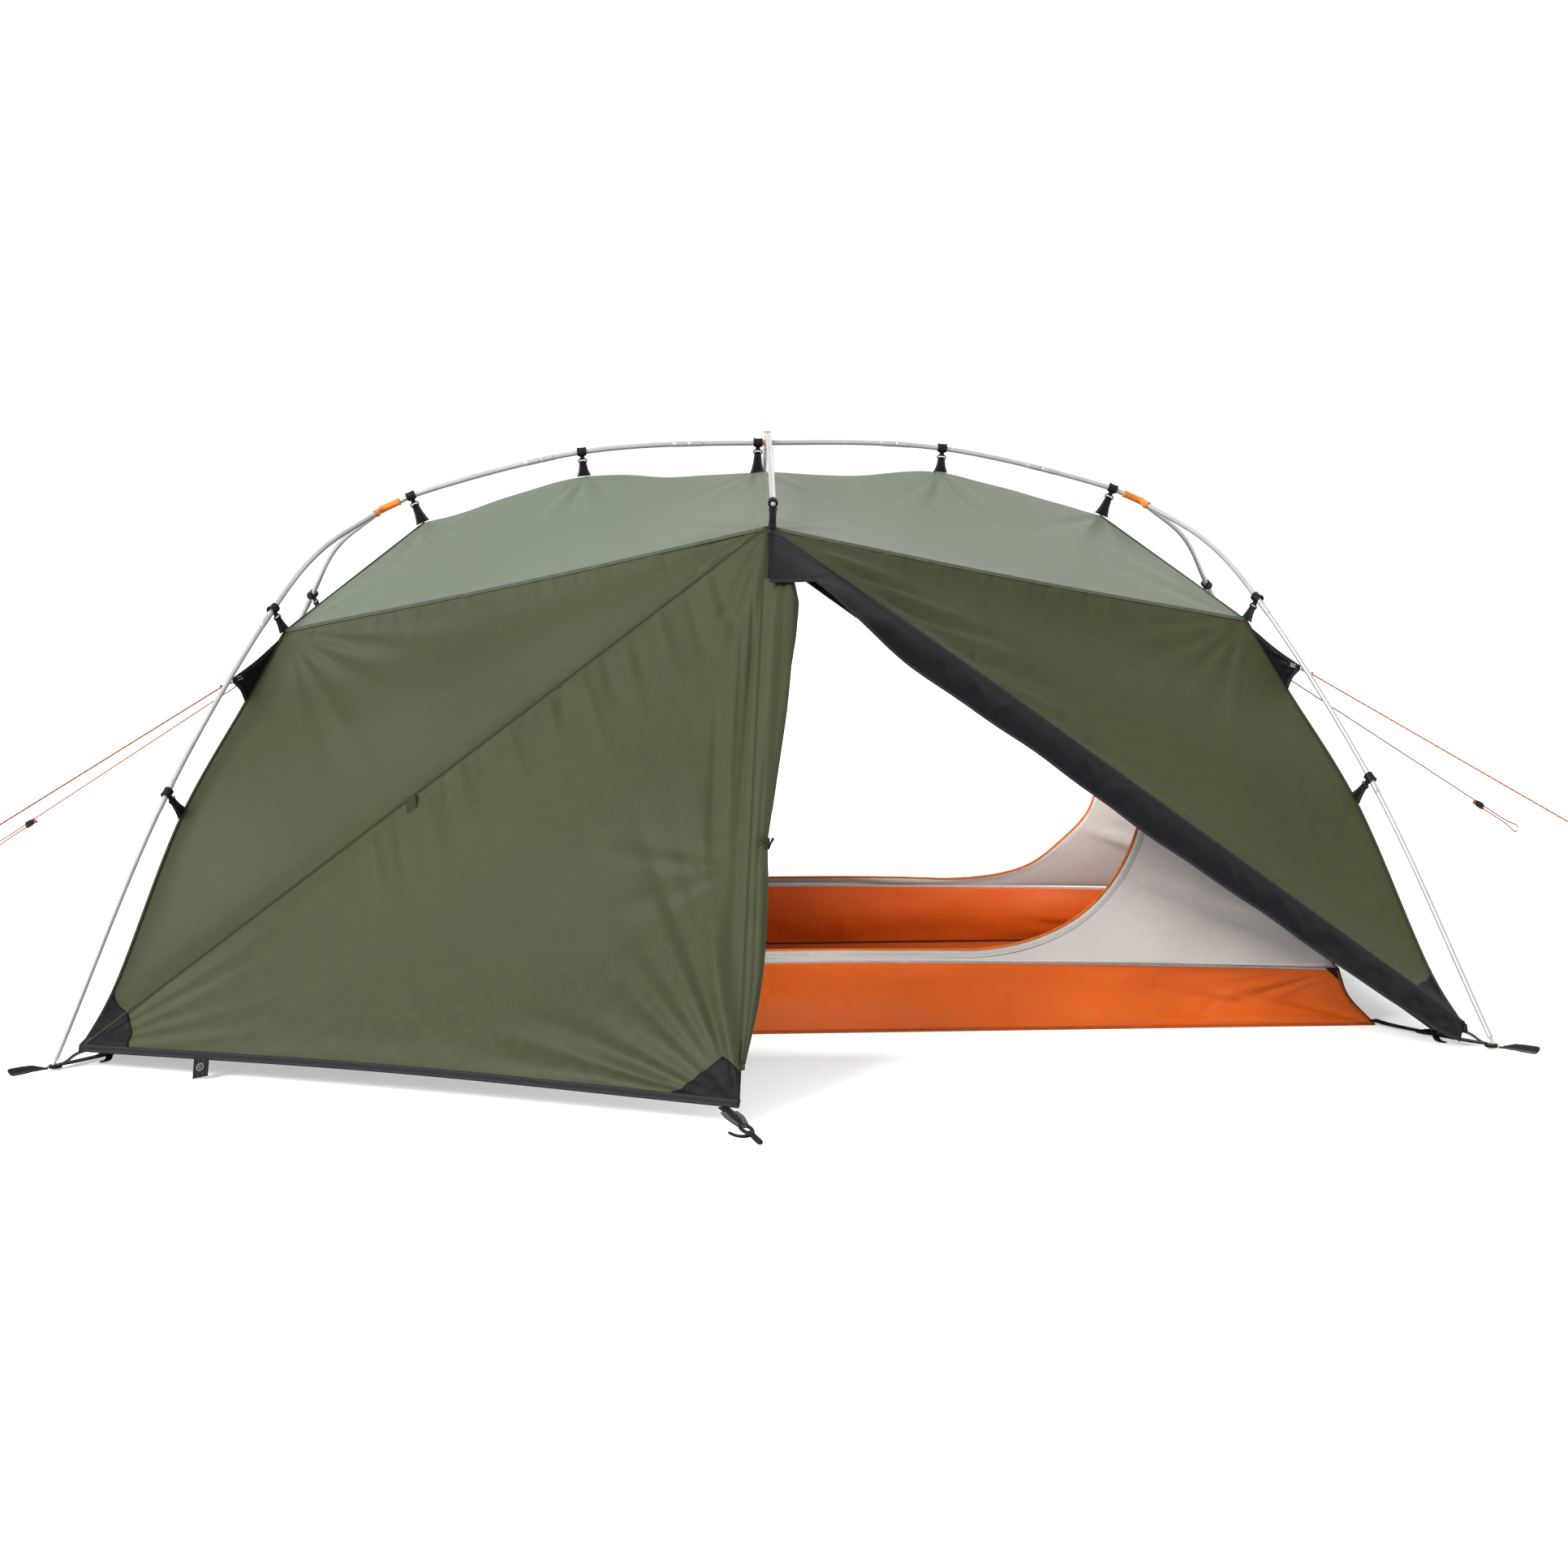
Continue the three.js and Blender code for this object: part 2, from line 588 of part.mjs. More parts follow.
// ---------- corners on the ground ----------
const PULL_DIRECTION = vec(0.64, 0.77, 0).normalize();
const PULL_LENGTH = 84;
const CUP_RADIUS = 13;

function addCorners() {
  for (const [name, sx, sy] of CORNERS) {
    const foot = mirrored(FOOT, sx, sy).setZ(0);
    const start = vec(sx * (TUB.bottomX + 3), sy * (TUB.bottomY + 3), 0);
    const along = unit(start, foot);
    const length = start.distanceTo(foot);
    const strap = block(lerp(start, foot, 0.5).setZ(4), along, UP, [length, 20, 2.4]);
    const buckle = block(lerp(start, foot, 0.45).setZ(5), along, UP, [26, 28, 7]);
    const cup = rod(foot.clone(), foot.clone().setZ(9.4), CUP_RADIUS, 16);
    fabric(`corner_strap_${name}`, joined(strap, buckle, cup), BLACK);
    const pull = mirrored(PULL_DIRECTION, sx, sy);
    const middle = foot.clone().addScaledVector(pull, CUP_RADIUS + 2.6 + PULL_LENGTH / 2).setZ(4);
    fabric(`pull_tab_${name}`, block(middle, pull, UP, [PULL_LENGTH, 16, 4]), BLACK);
  }
}

// A webbing loop with a hook for the peg, hanging from the low point of each door.
function addPegHooks() {
  for (const [fb, sy] of SIDES_Y) {
    const top = mirrored(FLY_STAKE, 1, sy).add(vec(6, sy * 9, -7));
    const low = vec(-38, sy * 1478, 7);
    const along = unit(top, low);
    const web = block(lerp(top, low, 0.4), along, UP, [top.distanceTo(low) * 0.8, 12, 3]);
    const hook = block(lerp(top, low, 0.84), along, UP, [46, 15, 8]);
    plastic(`peg_hook_${fb}`, joined(web, hook));
  }
}

// ---------- guy lines ----------
function guyFrame(sx, sy) {
  const level = Math.hypot(1, GUY_DROP);
  const along = vec(sx * Math.cos(GUY_HEADING), sy * Math.sin(GUY_HEADING), -GUY_DROP).divideScalar(level);
  const across = UP.clone().cross(along).normalize();
  const over = along.clone().cross(across).normalize();
  if (over.z > 0) over.negate();
  return { tip: mirrored(GUY_TIP, sx, sy), along, over };
}

// One strand from the gusset to the peg loop, round it, and back beside itself through the slider.
function guyRoute(sx, sy) {
  const { tip, along, over } = guyFrame(sx, sy);
  const middle = STRAND_GAP / 2;
  const at = (distance, aside) => {
    return tip.clone().addScaledVector(along, distance).addScaledVector(over, middle + aside);
  };
  const loop = GUY_LENGTH - LOOP_RADIUS;
  const slant = LOOP_RADIUS * Math.SQRT1_2;
  const out = [3, 250, 500, 750, GUY_SLIDER_AT].map((distance) => at(distance, -middle));
  const opening = [[loop - 50, middle], [loop - 25, 5], [loop - 9, 7.2], [loop, 8], [loop + slant, slant]];
  const there = opening.map(([distance, aside]) => at(distance, -aside));
  const back = opening.reverse().map(([distance, aside]) => at(distance, aside));
  const end = [at(GUY_SLIDER_AT, middle), at(GUY_SLIDER_AT - 20, middle)];
  return [...out, ...there, at(GUY_LENGTH, 0), ...back, ...end];
}

function addGuyLines() {
  for (const [name, sx, sy] of CORNERS) {
    const route = new THREE.CatmullRomCurve3(guyRoute(sx, sy), false, "centripetal");
    route.getUtoTmapping = (u) => u; // even steps between the route's points, so the loop is round
    fabric(`guy_line_${name}`, bar(route, CORD_RADIUS, 8, 36), ORANGE);
    const { tip, along, over } = guyFrame(sx, sy);
    const at = tip.clone().addScaledVector(along, GUY_SLIDER_AT);
    const side = along.clone().cross(over).normalize();
    const outline = new THREE.Shape([
      new THREE.Vector2(-15, -4.2),
      new THREE.Vector2(15, -4.6),
      new THREE.Vector2(15, STRAND_GAP + 4.6),
      new THREE.Vector2(-15, STRAND_GAP + 2),
    ]);
    const body = new THREE.ExtrudeGeometry(outline, { depth: 7, bevelEnabled: false });
    body.translate(0, 0, -3.5);
    body.applyMatrix4(new THREE.Matrix4().makeBasis(along, over, side).setPosition(at));
    const straight = rod(beyond(at, along, -25), beyond(at, along, 25), CORD_RADIUS + 0.5, 12);
    const returning = straight.clone().translate(...over.clone().multiplyScalar(STRAND_GAP).toArray());
    plastic(`guy_slider_${name}`, cut(body, straight, returning));
  }
}

addPoles();
addHub("hub_left", -1);
addHub("hub_right", 1);
addCrossing();
addApexStrap("apex_strap_front", -1);
addApexStrap("apex_strap_back", 1);
addClips();
addRoof();
addFlyEnd("fly_end_left", -1);
addFlyEnd("fly_end_right", 1);
addFlySides();
addFlaps();
addDoorRolls();
addZipSliders();
addTub();
addInnerWalls();
addInnerEnds();
addCorners();
addPegHooks();
addGuyLines();

export default tent;
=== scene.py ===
"""Finished looks of the two-person trekking tent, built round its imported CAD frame.

Shapes are worked out in millimetres, +Z up, as the CAD is, and turned into metres when a mesh is made.
Corner sizes are given for the +X +Y quarter of the tent; the other quarters are mirrored.
"""

import math

import bpy
import numpy as np
from mathutils import Matrix, Vector


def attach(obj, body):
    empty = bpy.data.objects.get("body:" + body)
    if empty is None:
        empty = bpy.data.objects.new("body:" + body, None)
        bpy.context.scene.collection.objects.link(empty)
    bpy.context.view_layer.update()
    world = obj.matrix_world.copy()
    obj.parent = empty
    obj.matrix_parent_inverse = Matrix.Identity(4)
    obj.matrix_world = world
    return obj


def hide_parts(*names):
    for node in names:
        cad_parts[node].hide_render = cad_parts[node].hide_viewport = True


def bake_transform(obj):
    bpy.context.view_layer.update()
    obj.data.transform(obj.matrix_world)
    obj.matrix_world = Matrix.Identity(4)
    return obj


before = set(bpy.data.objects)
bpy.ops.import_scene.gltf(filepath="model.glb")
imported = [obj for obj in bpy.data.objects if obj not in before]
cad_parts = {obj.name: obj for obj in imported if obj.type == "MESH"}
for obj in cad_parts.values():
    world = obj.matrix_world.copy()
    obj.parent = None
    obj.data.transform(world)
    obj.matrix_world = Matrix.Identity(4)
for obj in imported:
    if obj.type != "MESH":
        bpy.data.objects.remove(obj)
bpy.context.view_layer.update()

MM = 0.001


def P(*xyz):
    return np.array(xyz, float)


# ---------- driving values, as in the CAD ----------
FOOT = P(1230, 784, 13)
HUB = P(728, 0, 931)
LEG_SHOULDER = P(830, 150, 858)
LEG_CLIP_HIGH = P(901, 310, 756)
LEG_CLIP_LOW = P(1068, 528, 443)
RIDGE_HALF = [P(698, 0, 944), P(668, 0, 957), P(345, 0, 1036)]
RIDGE_TOP = P(0, 0, 1050)
RIDGE_CLIPS = [-672, -345, -10, 345, 672]
POLE_RADIUS = 4.75
CROSS_X = 10
CROSS_RADIUS = 5.5
CROSS_TOP = 1063
CROSS_TIP = P(CROSS_X, 460, 942)
FLY_CORNER = P(882, 300, 716)
FLY_CORNER_BEND = P(944, 352, 600)
FLY_LOW = P(1046, 498, 404)
FLY_LOW_BEND = P(1150, 682, 108)
FLY_HEM_CORNER = P(1192, 757, 28)
FLY_END_MIDDLE = P(1172, 0, 62)
FLY_RIDGE_END = P(650, 0, 904)
FLY_RIDGE_MID = P(341, 0, 989)
FLY_RIDGE_TOP = P(0, 0, 991)
RIDGE_SAG = P(170.5, 0, 986)
FLY_APEX = P(0, 460, 899)
FLY_STAKE = P(-70, 1345, 30)
TUB_BOTTOM = (1076, 536)
TUB_TOP = (1012, 524)
TUB_HEIGHT = 127
INNER_RIDGE = P(540, 0, 900)
DOOR = {"foot": 22, "low": 330, "wide": 690, "corner": 360, "peak": 240, "top": 830}
GUY_TIP = P(968, 380, 633)
GUY_HEADING = math.radians(42)
GUY_DROP = 0.46
GUY_LENGTH = 1120
GUY_SLIDER_AT = 955
CORD_RADIUS = 1.5
LOOP_RADIUS = 8
STRAND_GAP = 6.5
CUP_RADIUS = 13
PULL_HEADING = P(0.64, 0.77, 0)
PULL_LENGTH = 84

# ---------- sizes of the finished looks alone ----------
FLAP_OVERLAP = 19  # how far the storm flap laps over the side panel
TUB_CORNER_DROP = 26  # how far the tub's rim droops at its corners
CLOTH_THICK = 0.9
LINING_THICK = 0.8
FLAP_THICK = 1.0
ROLL_WAIST = 0.57  # how far down the rolled door its tie sits
CLIP_TOP = 19.8  # from a pole's middle down to the webbing of its clip
BACKING = 1.6  # lift of a corner patch off its panel

UP = P(0, 0, 1)
SIDES_X = {"left": -1, "right": 1}
SIDES_Y = {"front": -1, "back": 1}
CORNERS = [(f"{fb}_{lr}", sx, sy) for fb, sy in SIDES_Y.items() for lr, sx in SIDES_X.items()]

# ---------- camera ----------
CAMERA_AT = P(-115, -6415, 1040)
CAMERA_YAW, CAMERA_PITCH, CAMERA_ROLL = -0.0234, -0.1004, 0.0103
SENSOR = 36
FOCAL_SHARE = 4110 / 1932  # focal length over the picture's width


def add_camera():
    data = bpy.data.cameras.new("camera")
    data.sensor_width = SENSOR
    data.lens = SENSOR * FOCAL_SHARE
    data.clip_end = 100
    camera = bpy.data.objects.new("camera", data)
    turn = Matrix.Rotation(CAMERA_YAW, 3, "Z") @ Matrix.Rotation(CAMERA_PITCH, 3, "X")
    turn = turn @ Matrix.Rotation(CAMERA_ROLL, 3, "Y")
    right, forward, up = (turn @ Vector(v) for v in ((1, 0, 0), (0, 1, 0), (0, 0, 1)))
    basis = Matrix((right, up, -forward)).transposed()
    camera.matrix_world = Matrix.Translation(CAMERA_AT * MM) @ basis.to_4x4()
    bpy.context.scene.collection.objects.link(camera)
    bpy.context.scene.camera = camera


add_camera()


# ---------- points and curves ----------
def mirrored(p, sx, sy):
    return np.asarray(p, float) * (sx, sy, 1)


def turned(angles, x, y):
    """Points of a circle of radius 1 in the plane of x and y."""
    return np.cos(angles)[:, None] * x + np.sin(angles)[:, None] * y


def lerp(a, b, t):
    return a + (b - a) * t


def unit(v):
    return v / np.maximum(np.linalg.norm(v, axis=-1, keepdims=True), 1e-9)


def steps(count):
    return np.linspace(0, 1, count)


def spline(points, ts):
    """Centripetal Catmull-Rom curve through the points, as the CAD uses."""
    points = np.asarray(points, float)
    last = len(points) - 1
    wide = np.vstack([2 * points[0] - points[1], points, 2 * points[-1] - points[-2]])
    gaps = np.sqrt(np.linalg.norm(np.diff(wide, axis=0), axis=1))[:, None]
    at = np.clip(np.asarray(ts, float), 0, 1) * last
    i = np.minimum(at.astype(int), last - 1)
    w = (at - i)[:, None]
    p0, p1, p2, p3 = (wide[i + k] for k in range(4))
    d0, d1, d2 = (gaps[i + k] for k in range(3))
    t1 = ((p1 - p0) / d0 - (p2 - p0) / (d0 + d1) + (p2 - p1) / d1) * d1
    t2 = ((p2 - p1) / d1 - (p3 - p1) / (d1 + d2) + (p3 - p2) / d2) * d1
    return p1 + t1 * w + (-3 * p1 + 3 * p2 - 2 * t1 - t2) * w**2 + (2 * p1 - 2 * p2 + t1 + t2) * w**3


def edge(*points):
    return lambda ts: spline(points, ts)


def flipped(line):
    return lambda ts: line(1 - ts)


def chain(first, second):
    def line(ts):
        early = first(np.clip(2 * ts, 0, 1))
        late = second(np.clip(2 * ts - 1, 0, 1))
        return np.where((ts < 0.5)[:, None], early, late)

    return line


def distances(path):
    return np.concatenate([[0], np.cumsum(np.linalg.norm(np.diff(path, axis=0), axis=1))])


def even(path, gap):
    """The same path with points about gap apart."""
    far = distances(path)
    count = max(3, int(round(far[-1] / gap)) + 1)
    marks = np.linspace(0, far[-1], count)
    return np.stack([np.interp(marks, far, path[:, k]) for k in range(3)], axis=1)


def point_on(line, t):
    return line(np.array([t]))[0]


def coons(start, end, left, right, across, along):
    """Rows of points between four edges that share their corners."""
    s, t = steps(across + 1), steps(along + 1)
    first, last, low, high = start(t), end(t), left(s), right(s)
    s, t = s[:, None, None], t[None, :, None]
    grid = (1 - s) * first[None] + s * last[None]
    grid = grid + (1 - t) * low[:, None] + t * high[:, None]
    grid = grid - (1 - s) * ((1 - t) * first[0] + t * first[-1])
    return grid - s * ((1 - t) * last[0] + t * last[-1])


def grid_normals(grid, outwards):
    """Unit normals of a grid, on the side that outwards points to."""
    normals = np.cross(np.gradient(grid, axis=0), np.gradient(grid, axis=1))
    small = np.linalg.norm(normals, axis=2) < 1e-6
    normals = unit(normals)
    middle = normals[grid.shape[0] // 2, grid.shape[1] // 2]
    if middle @ outwards < 0:
        normals = -normals
        middle = -middle
    normals[small] = middle
    return normals


# ---------- meshes ----------
class Part:
    """Faces with one texture coordinate for each face corner, in metres, and one material."""

    def __init__(self, points, faces, uvs, material):
        self.points = points
        self.faces = faces
        self.uvs = uvs
        self.material = material


def grid_faces(rows, columns, wrap=False):
    i, j = np.meshgrid(np.arange(rows - 1), np.arange(columns if wrap else columns - 1), indexing="ij")
    k = (j + 1) % columns
    quads = np.stack([i * columns + j, (i + 1) * columns + j, (i + 1) * columns + k, i * columns + k],
                     axis=-1)
    return quads.reshape(-1, 4)


def wrapped_uvs(u, v):
    """Texture coordinates for the faces of a wrapped grid: u round its columns and v along its rows."""
    i, j = np.meshgrid(np.arange(len(v) - 1), np.arange(len(u) - 1), indexing="ij")
    corners = [(i, j), (i + 1, j), (i + 1, j + 1), (i, j + 1)]
    return np.stack([np.stack([u[b], v[a]], axis=-1) for a, b in corners], axis=2).reshape(-1, 2)


def cloth(grid, material):
    """A single sheet over a grid of points."""
    rows, columns = grid.shape[:2]
    across = np.linalg.norm(np.diff(grid, axis=0), axis=2).mean(axis=1)
    along = np.linalg.norm(np.diff(grid, axis=1), axis=2).mean(axis=0)
    v = np.concatenate([[0], np.cumsum(across)]) * MM
    u = np.concatenate([[0], np.cumsum(along)]) * MM
    uv = np.stack(np.meshgrid(u, v), axis=-1).reshape(-1, 2)
    faces = grid_faces(rows, columns)
    return Part(grid.reshape(-1, 3), faces.tolist(), uv[faces].reshape(-1, 2), material)


def sweep(path, profile, up, material, scale=1.0, closed=False):
    """A closed profile carried along a path. Profile x lies across it and profile y along up."""
    path = np.asarray(path, float)
    count, sides = len(path), len(profile)
    if closed:
        tangents = unit(np.roll(path, -1, axis=0) - np.roll(path, 1, axis=0))
    else:
        tangents = unit(np.gradient(path, axis=0))
    across = unit(np.cross(tangents, np.broadcast_to(up, path.shape)))
    over = np.cross(across, tangents)
    scale = np.asarray(scale, float)
    if scale.ndim < 2:
        scale = np.broadcast_to(scale.reshape(-1, 1), (count, 2))
    x = profile[None, :, 0] * scale[:, :1]
    y = profile[None, :, 1] * scale[:, 1:]
    points = path[:, None] + x[..., None] * across[:, None] + y[..., None] * over[:, None]
    rows = count + 1 if closed else count
    faces = grid_faces(rows, sides, wrap=True) % (count * sides)
    ring = np.vstack([path, path[:1]]) if closed else path
    v = distances(ring) * MM
    u = np.append(profile[:, 0], profile[0, 0]) * MM
    uvs = wrapped_uvs(u, v)
    faces = faces.tolist()
    if not closed:
        first = list(range(sides))
        last = [(count - 1) * sides + k for k in reversed(range(sides))]
        faces += [first, last]
        flat = profile * MM
        uvs = np.vstack([uvs, flat, flat[::-1]])
    return Part(points.reshape(-1, 3), faces, uvs, material)


def round_profile(radius, sides=16, squash=1.0):
    turn = np.arange(sides) * 2 * np.pi / sides
    return np.stack([radius * np.cos(turn), radius * squash * np.sin(turn)], axis=1)


def widths(shares):
    """Scale of a strap's profile along it: its width changes and its thickness doesn't."""
    return np.stack([shares, np.ones(len(shares))], axis=1)


def strap_profile(width, thick):
    """A flat band with round edges."""
    half, r = width / 2 - thick / 2, thick / 2
    turn = np.linspace(-np.pi / 2, np.pi / 2, 5)
    right = np.stack([half + r * np.cos(turn), r * np.sin(turn)], axis=1)
    top = np.stack([np.linspace(half, -half, 5)[1:-1], np.full(3, r)], axis=1)
    return np.vstack([right, top, -right, -top])


def tube(path, radius, material, sides=16, closed=False, squash=1.0):
    path = np.asarray(path, float)
    lean = unit(path[-1] - path[0]) if not closed else UP
    up = UP if abs(lean[2]) < 0.9 else P(0, 1, 0)
    radius = np.asarray(radius, float)
    return sweep(path, round_profile(1.0, sides, squash), up, material, radius, closed)


def lathe(center, axis, profile, material, sides=20):
    """A solid of revolution; profile holds (distance along the axis, radius) pairs."""
    profile = np.asarray(profile, float)
    axis = unit(np.asarray(axis, float))
    path = center + profile[:, :1] * axis
    up = UP if abs(axis[2]) < 0.9 else P(0, 1, 0)
    across = unit(np.cross(axis, up))
    over = np.cross(across, axis)
    turn = np.arange(sides) * 2 * np.pi / sides
    ring = turned(turn, across, over)
    points = path[:, None] + profile[:, 1, None, None] * ring[None]
    faces = grid_faces(len(profile), sides, wrap=True).tolist()
    last = (len(profile) - 1) * sides
    faces += [list(range(sides)), [last + k for k in reversed(range(sides))]]
    v = distances(np.stack([profile[:, 0], profile[:, 1], 0 * profile[:, 0]], axis=1)) * MM
    u = np.arange(sides + 1) / sides * 2 * np.pi * profile[:, 1].max() * MM
    cap = np.stack([np.cos(turn), np.sin(turn)], axis=1) * MM
    return Part(points.reshape(-1, 3), faces, np.vstack([wrapped_uvs(u, v), cap, cap]), material)


def rounded(width, height, corner, points=5):
    """A rounded rectangle's outline, with so many points round each of its corners."""
    quarter = np.linspace(0, np.pi / 2, points)
    run = []
    for turn, (sx, sy) in enumerate([(1, 1), (-1, 1), (-1, -1), (1, -1)]):
        a = quarter + turn * np.pi / 2
        run.append(np.stack([
            sx * (width / 2 - corner) + corner * np.cos(a),
            sy * (height / 2 - corner) + corner * np.sin(a),
        ], axis=1))
    return np.vstack(run)


def hoop(center, x_axis, y_axis, width, height, corner, thick, depth, material):
    """A flat ring with a rounded rectangular run; thick is in its plane and depth across it."""
    x_axis, y_axis = unit(np.asarray(x_axis, float)), unit(np.asarray(y_axis, float))
    run = rounded(width, height, corner, points=6)
    path = center + run[:, :1] * x_axis + run[:, 1:] * y_axis
    facing = np.cross(x_axis, y_axis)
    return sweep(path, strap_profile(max(thick, 0.2), min(depth, thick)) * (1, depth / min(depth, thick)),
                 facing, material, closed=True)


def plate(center, x_axis, y_axis, outline, thick, bevel, material):
    """A plate with rounded faces cut to an outline, given by (x, y) points round it."""
    x_axis, y_axis = unit(np.asarray(x_axis, float)), unit(np.asarray(y_axis, float))
    facing = unit(np.cross(x_axis, y_axis))
    outline = np.asarray(outline, float)
    middle = outline.mean(axis=0)
    size = np.abs(outline - middle).max()
    shrink = 1 - bevel / size
    layers = [(shrink, -0.5), (1 - 0.3 * bevel / size, -0.5 + 0.3 * bevel / thick), (1, -0.5 + bevel / thick),
              (1, 0.5 - bevel / thick), (1 - 0.3 * bevel / size, 0.5 - 0.3 * bevel / thick), (shrink, 0.5)]
    rings = []
    for share, level in layers:
        flat = middle + (outline - middle) * share
        rings.append(center + flat[:, :1] * x_axis + flat[:, 1:] * y_axis + facing * thick * level)
    points = np.vstack(rings)
    n = len(outline)
    faces = grid_faces(len(layers), n, wrap=True).tolist()
    faces += [list(range(n)), [(len(layers) - 1) * n + k for k in reversed(range(n))]]
    uvs = []
    for face in faces:
        for k in face:
            q = outline[k % n]
            uvs.append((q[0] * MM, (q[1] + thick * layers[k // n][1]) * MM))
    return Part(points, faces, np.array(uvs), material)


def piece(name, parts, body="tent", replaces=(), solid=0.0):
    """One object from several parts. It rides on body and stands for the CAD nodes in replaces."""
    parts = parts if isinstance(parts, list) else [parts]
    points, faces, uvs, slots, materials = [], [], [], [], []
    start = 0
    for part in parts:
        if part.material not in materials:
            materials.append(part.material)
        index = materials.index(part.material)
        points.append(part.points)
        faces += [[k + start for k in face] for face in part.faces]
        slots += [index] * len(part.faces)
        uvs.append(part.uvs)
        start += len(part.points)
    mesh = bpy.data.meshes.new(name)
    mesh.from_pydata((np.vstack(points) * MM).tolist(), [], faces)
    layer = mesh.uv_layers.new(name="cloth")
    layer.data.foreach_set("uv", np.vstack(uvs).astype(np.float32).ravel())
    mesh.polygons.foreach_set("material_index", slots)
    for material in materials:
        mesh.materials.append(material)
    mesh.update()
    mesh.shade_smooth()
    made = bpy.data.objects.new(name, mesh)
    bpy.context.scene.collection.objects.link(made)
    if solid:
        thicken = made.modifiers.new("cloth_thickness", "SOLIDIFY")
        thicken.thickness = solid * MM
        thicken.offset = 0
    if body:
        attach(made, body)
    if replaces:
        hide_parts(*replaces)
    return made


# ---------- materials ----------
class Shader:
    """A material whose node tree is written in short calls."""

    def __init__(self, name):
        self.material = bpy.data.materials.new(name)
        self.material.use_nodes = True
        self.tree = self.material.node_tree
        self.surface = self.tree.nodes["Principled BSDF"]
        self.uv = self.node("ShaderNodeTexCoord").outputs["UV"]
        self.place = self.node("ShaderNodeTexCoord").outputs["Object"]

    def node(self, kind, settings=(), **values):
        made = self.tree.nodes.new(kind)
        for key, value in dict(settings).items():
            setattr(made, key, value)
        for key, value in values.items():
            self.put(made.inputs[key.replace("_", " ")], value)
        return made

    def put(self, socket, value):
        if isinstance(value, bpy.types.NodeSocket):
            self.tree.links.new(value, socket)
        else:
            socket.default_value = value

    def set(self, **values):
        for key, value in values.items():
            self.put(self.surface.inputs[key.replace("_", " ")], value)

    def math(self, operation, *values):
        made = self.node("ShaderNodeMath", {"operation": operation})
        for socket, value in zip(made.inputs, values):
            self.put(socket, value)
        return made.outputs[0]

    def wave(self, value, length):
        """A sine of a coordinate, with its wavelength in metres."""
        return self.math("SINE", self.math("MULTIPLY", value, 2 * math.pi / length))

    def split(self, vector):
        made = self.node("ShaderNodeSeparateXYZ", Vector=vector)
        return made.outputs[0], made.outputs[1], made.outputs[2]

    def scaled(self, vector, scale):
        settings = {"vector_type": "POINT"}
        return self.node("ShaderNodeMapping", settings, Vector=vector, Scale=scale).outputs[0]

    def noise(self, vector, scale, detail=3.0, roughness=0.5):
        made = self.node("ShaderNodeTexNoise", Vector=vector, Scale=scale, Detail=detail, Roughness=roughness)
        return made.outputs["Fac"]

    def fit(self, value, low, high, to_low=0.0, to_high=1.0):
        made = self.node("ShaderNodeMapRange", Value=value, From_Min=low, From_Max=high, To_Min=to_low,
                         To_Max=to_high)
        return made.outputs[0]

    def blend(self, share, first, second):
        made = self.node("ShaderNodeMix", {"data_type": "RGBA"})
        self.put(made.inputs[0], share)
        self.put(made.inputs[6], first)
        self.put(made.inputs[7], second)
        return made.outputs[2]

    def bump(self, height, strength, distance, below=None):
        made = self.node("ShaderNodeBump", Height=height, Strength=strength, Distance=distance)
        if below is not None:
            self.put(made.inputs["Normal"], below)
        return made.outputs[0]


DUST = (0.07, 0.055, 0.038, 1.0)


def tint(color, share):
    return tuple(c * share for c in color) + (1.0,)


def cloth_material(name, color, roughness=0.5, sheen=0.015, thread=0.0009, grid=0.006, spread=0.12, glow=0.0,
                   reach=(1.0, 1.0, 1.0), gloss=0.11):
    """Coated polyester taffeta: a fine weave with a faint reinforcing grid, soft creases and light wear."""
    s = Shader(name)
    u, v, _ = s.split(s.uv)
    warp = s.wave(u, thread)
    weft = s.wave(v, thread)
    weave = s.math("MULTIPLY", warp, weft)
    lines = [s.math("GREATER_THAN", s.math("COSINE", s.math("MULTIPLY", w, 2 * math.pi / grid)), 0.965)
             for w in (u, v)]
    ripstop = s.math("MAXIMUM", *lines)
    clouds = s.noise(s.place, 2.2, 4.0)
    mottle = s.noise(s.place, 38.0, 3.0, 0.6)
    creases = s.noise(s.scaled(s.place, (1.0, 1.0, 1.6)), 7.0, 5.0, 0.62)
    shade = s.math("ADD", s.math("MULTIPLY", clouds, 0.6), s.math("MULTIPLY", mottle, 0.4))
    base = s.blend(s.fit(shade, 0.35, 0.65), tint(color, 1 - spread), tint(color, 1 + spread))
    base = s.blend(s.math("MULTIPLY", ripstop, 0.16), base, tint(color, 0.7))
    _, _, height = s.split(s.place)
    low = s.math("MULTIPLY", s.fit(height, 0.22, 0.0), s.fit(mottle, 0.45, 0.7))
    base = s.blend(s.math("MULTIPLY", low, 0.12), base, DUST)
    s.set(Base_Color=base)
    s.set(Roughness=s.fit(s.math("ADD", clouds, s.math("MULTIPLY", mottle, 0.5)), 0.5, 1.0, roughness - 0.07,
                          roughness + 0.1))
    s.set(Sheen_Weight=sheen, Sheen_Roughness=0.4, Specular_IOR_Level=gloss)
    if glow:
        s.set(Subsurface_Weight=glow, Subsurface_Radius=reach, Subsurface_Scale=0.004)
    soft = s.bump(creases, 0.22, 0.006)
    fine = s.bump(s.math("ADD", weave, s.math("MULTIPLY", ripstop, 1.5)), 0.18, 0.00012, soft)
    s.set(Normal=fine)
    return s.material


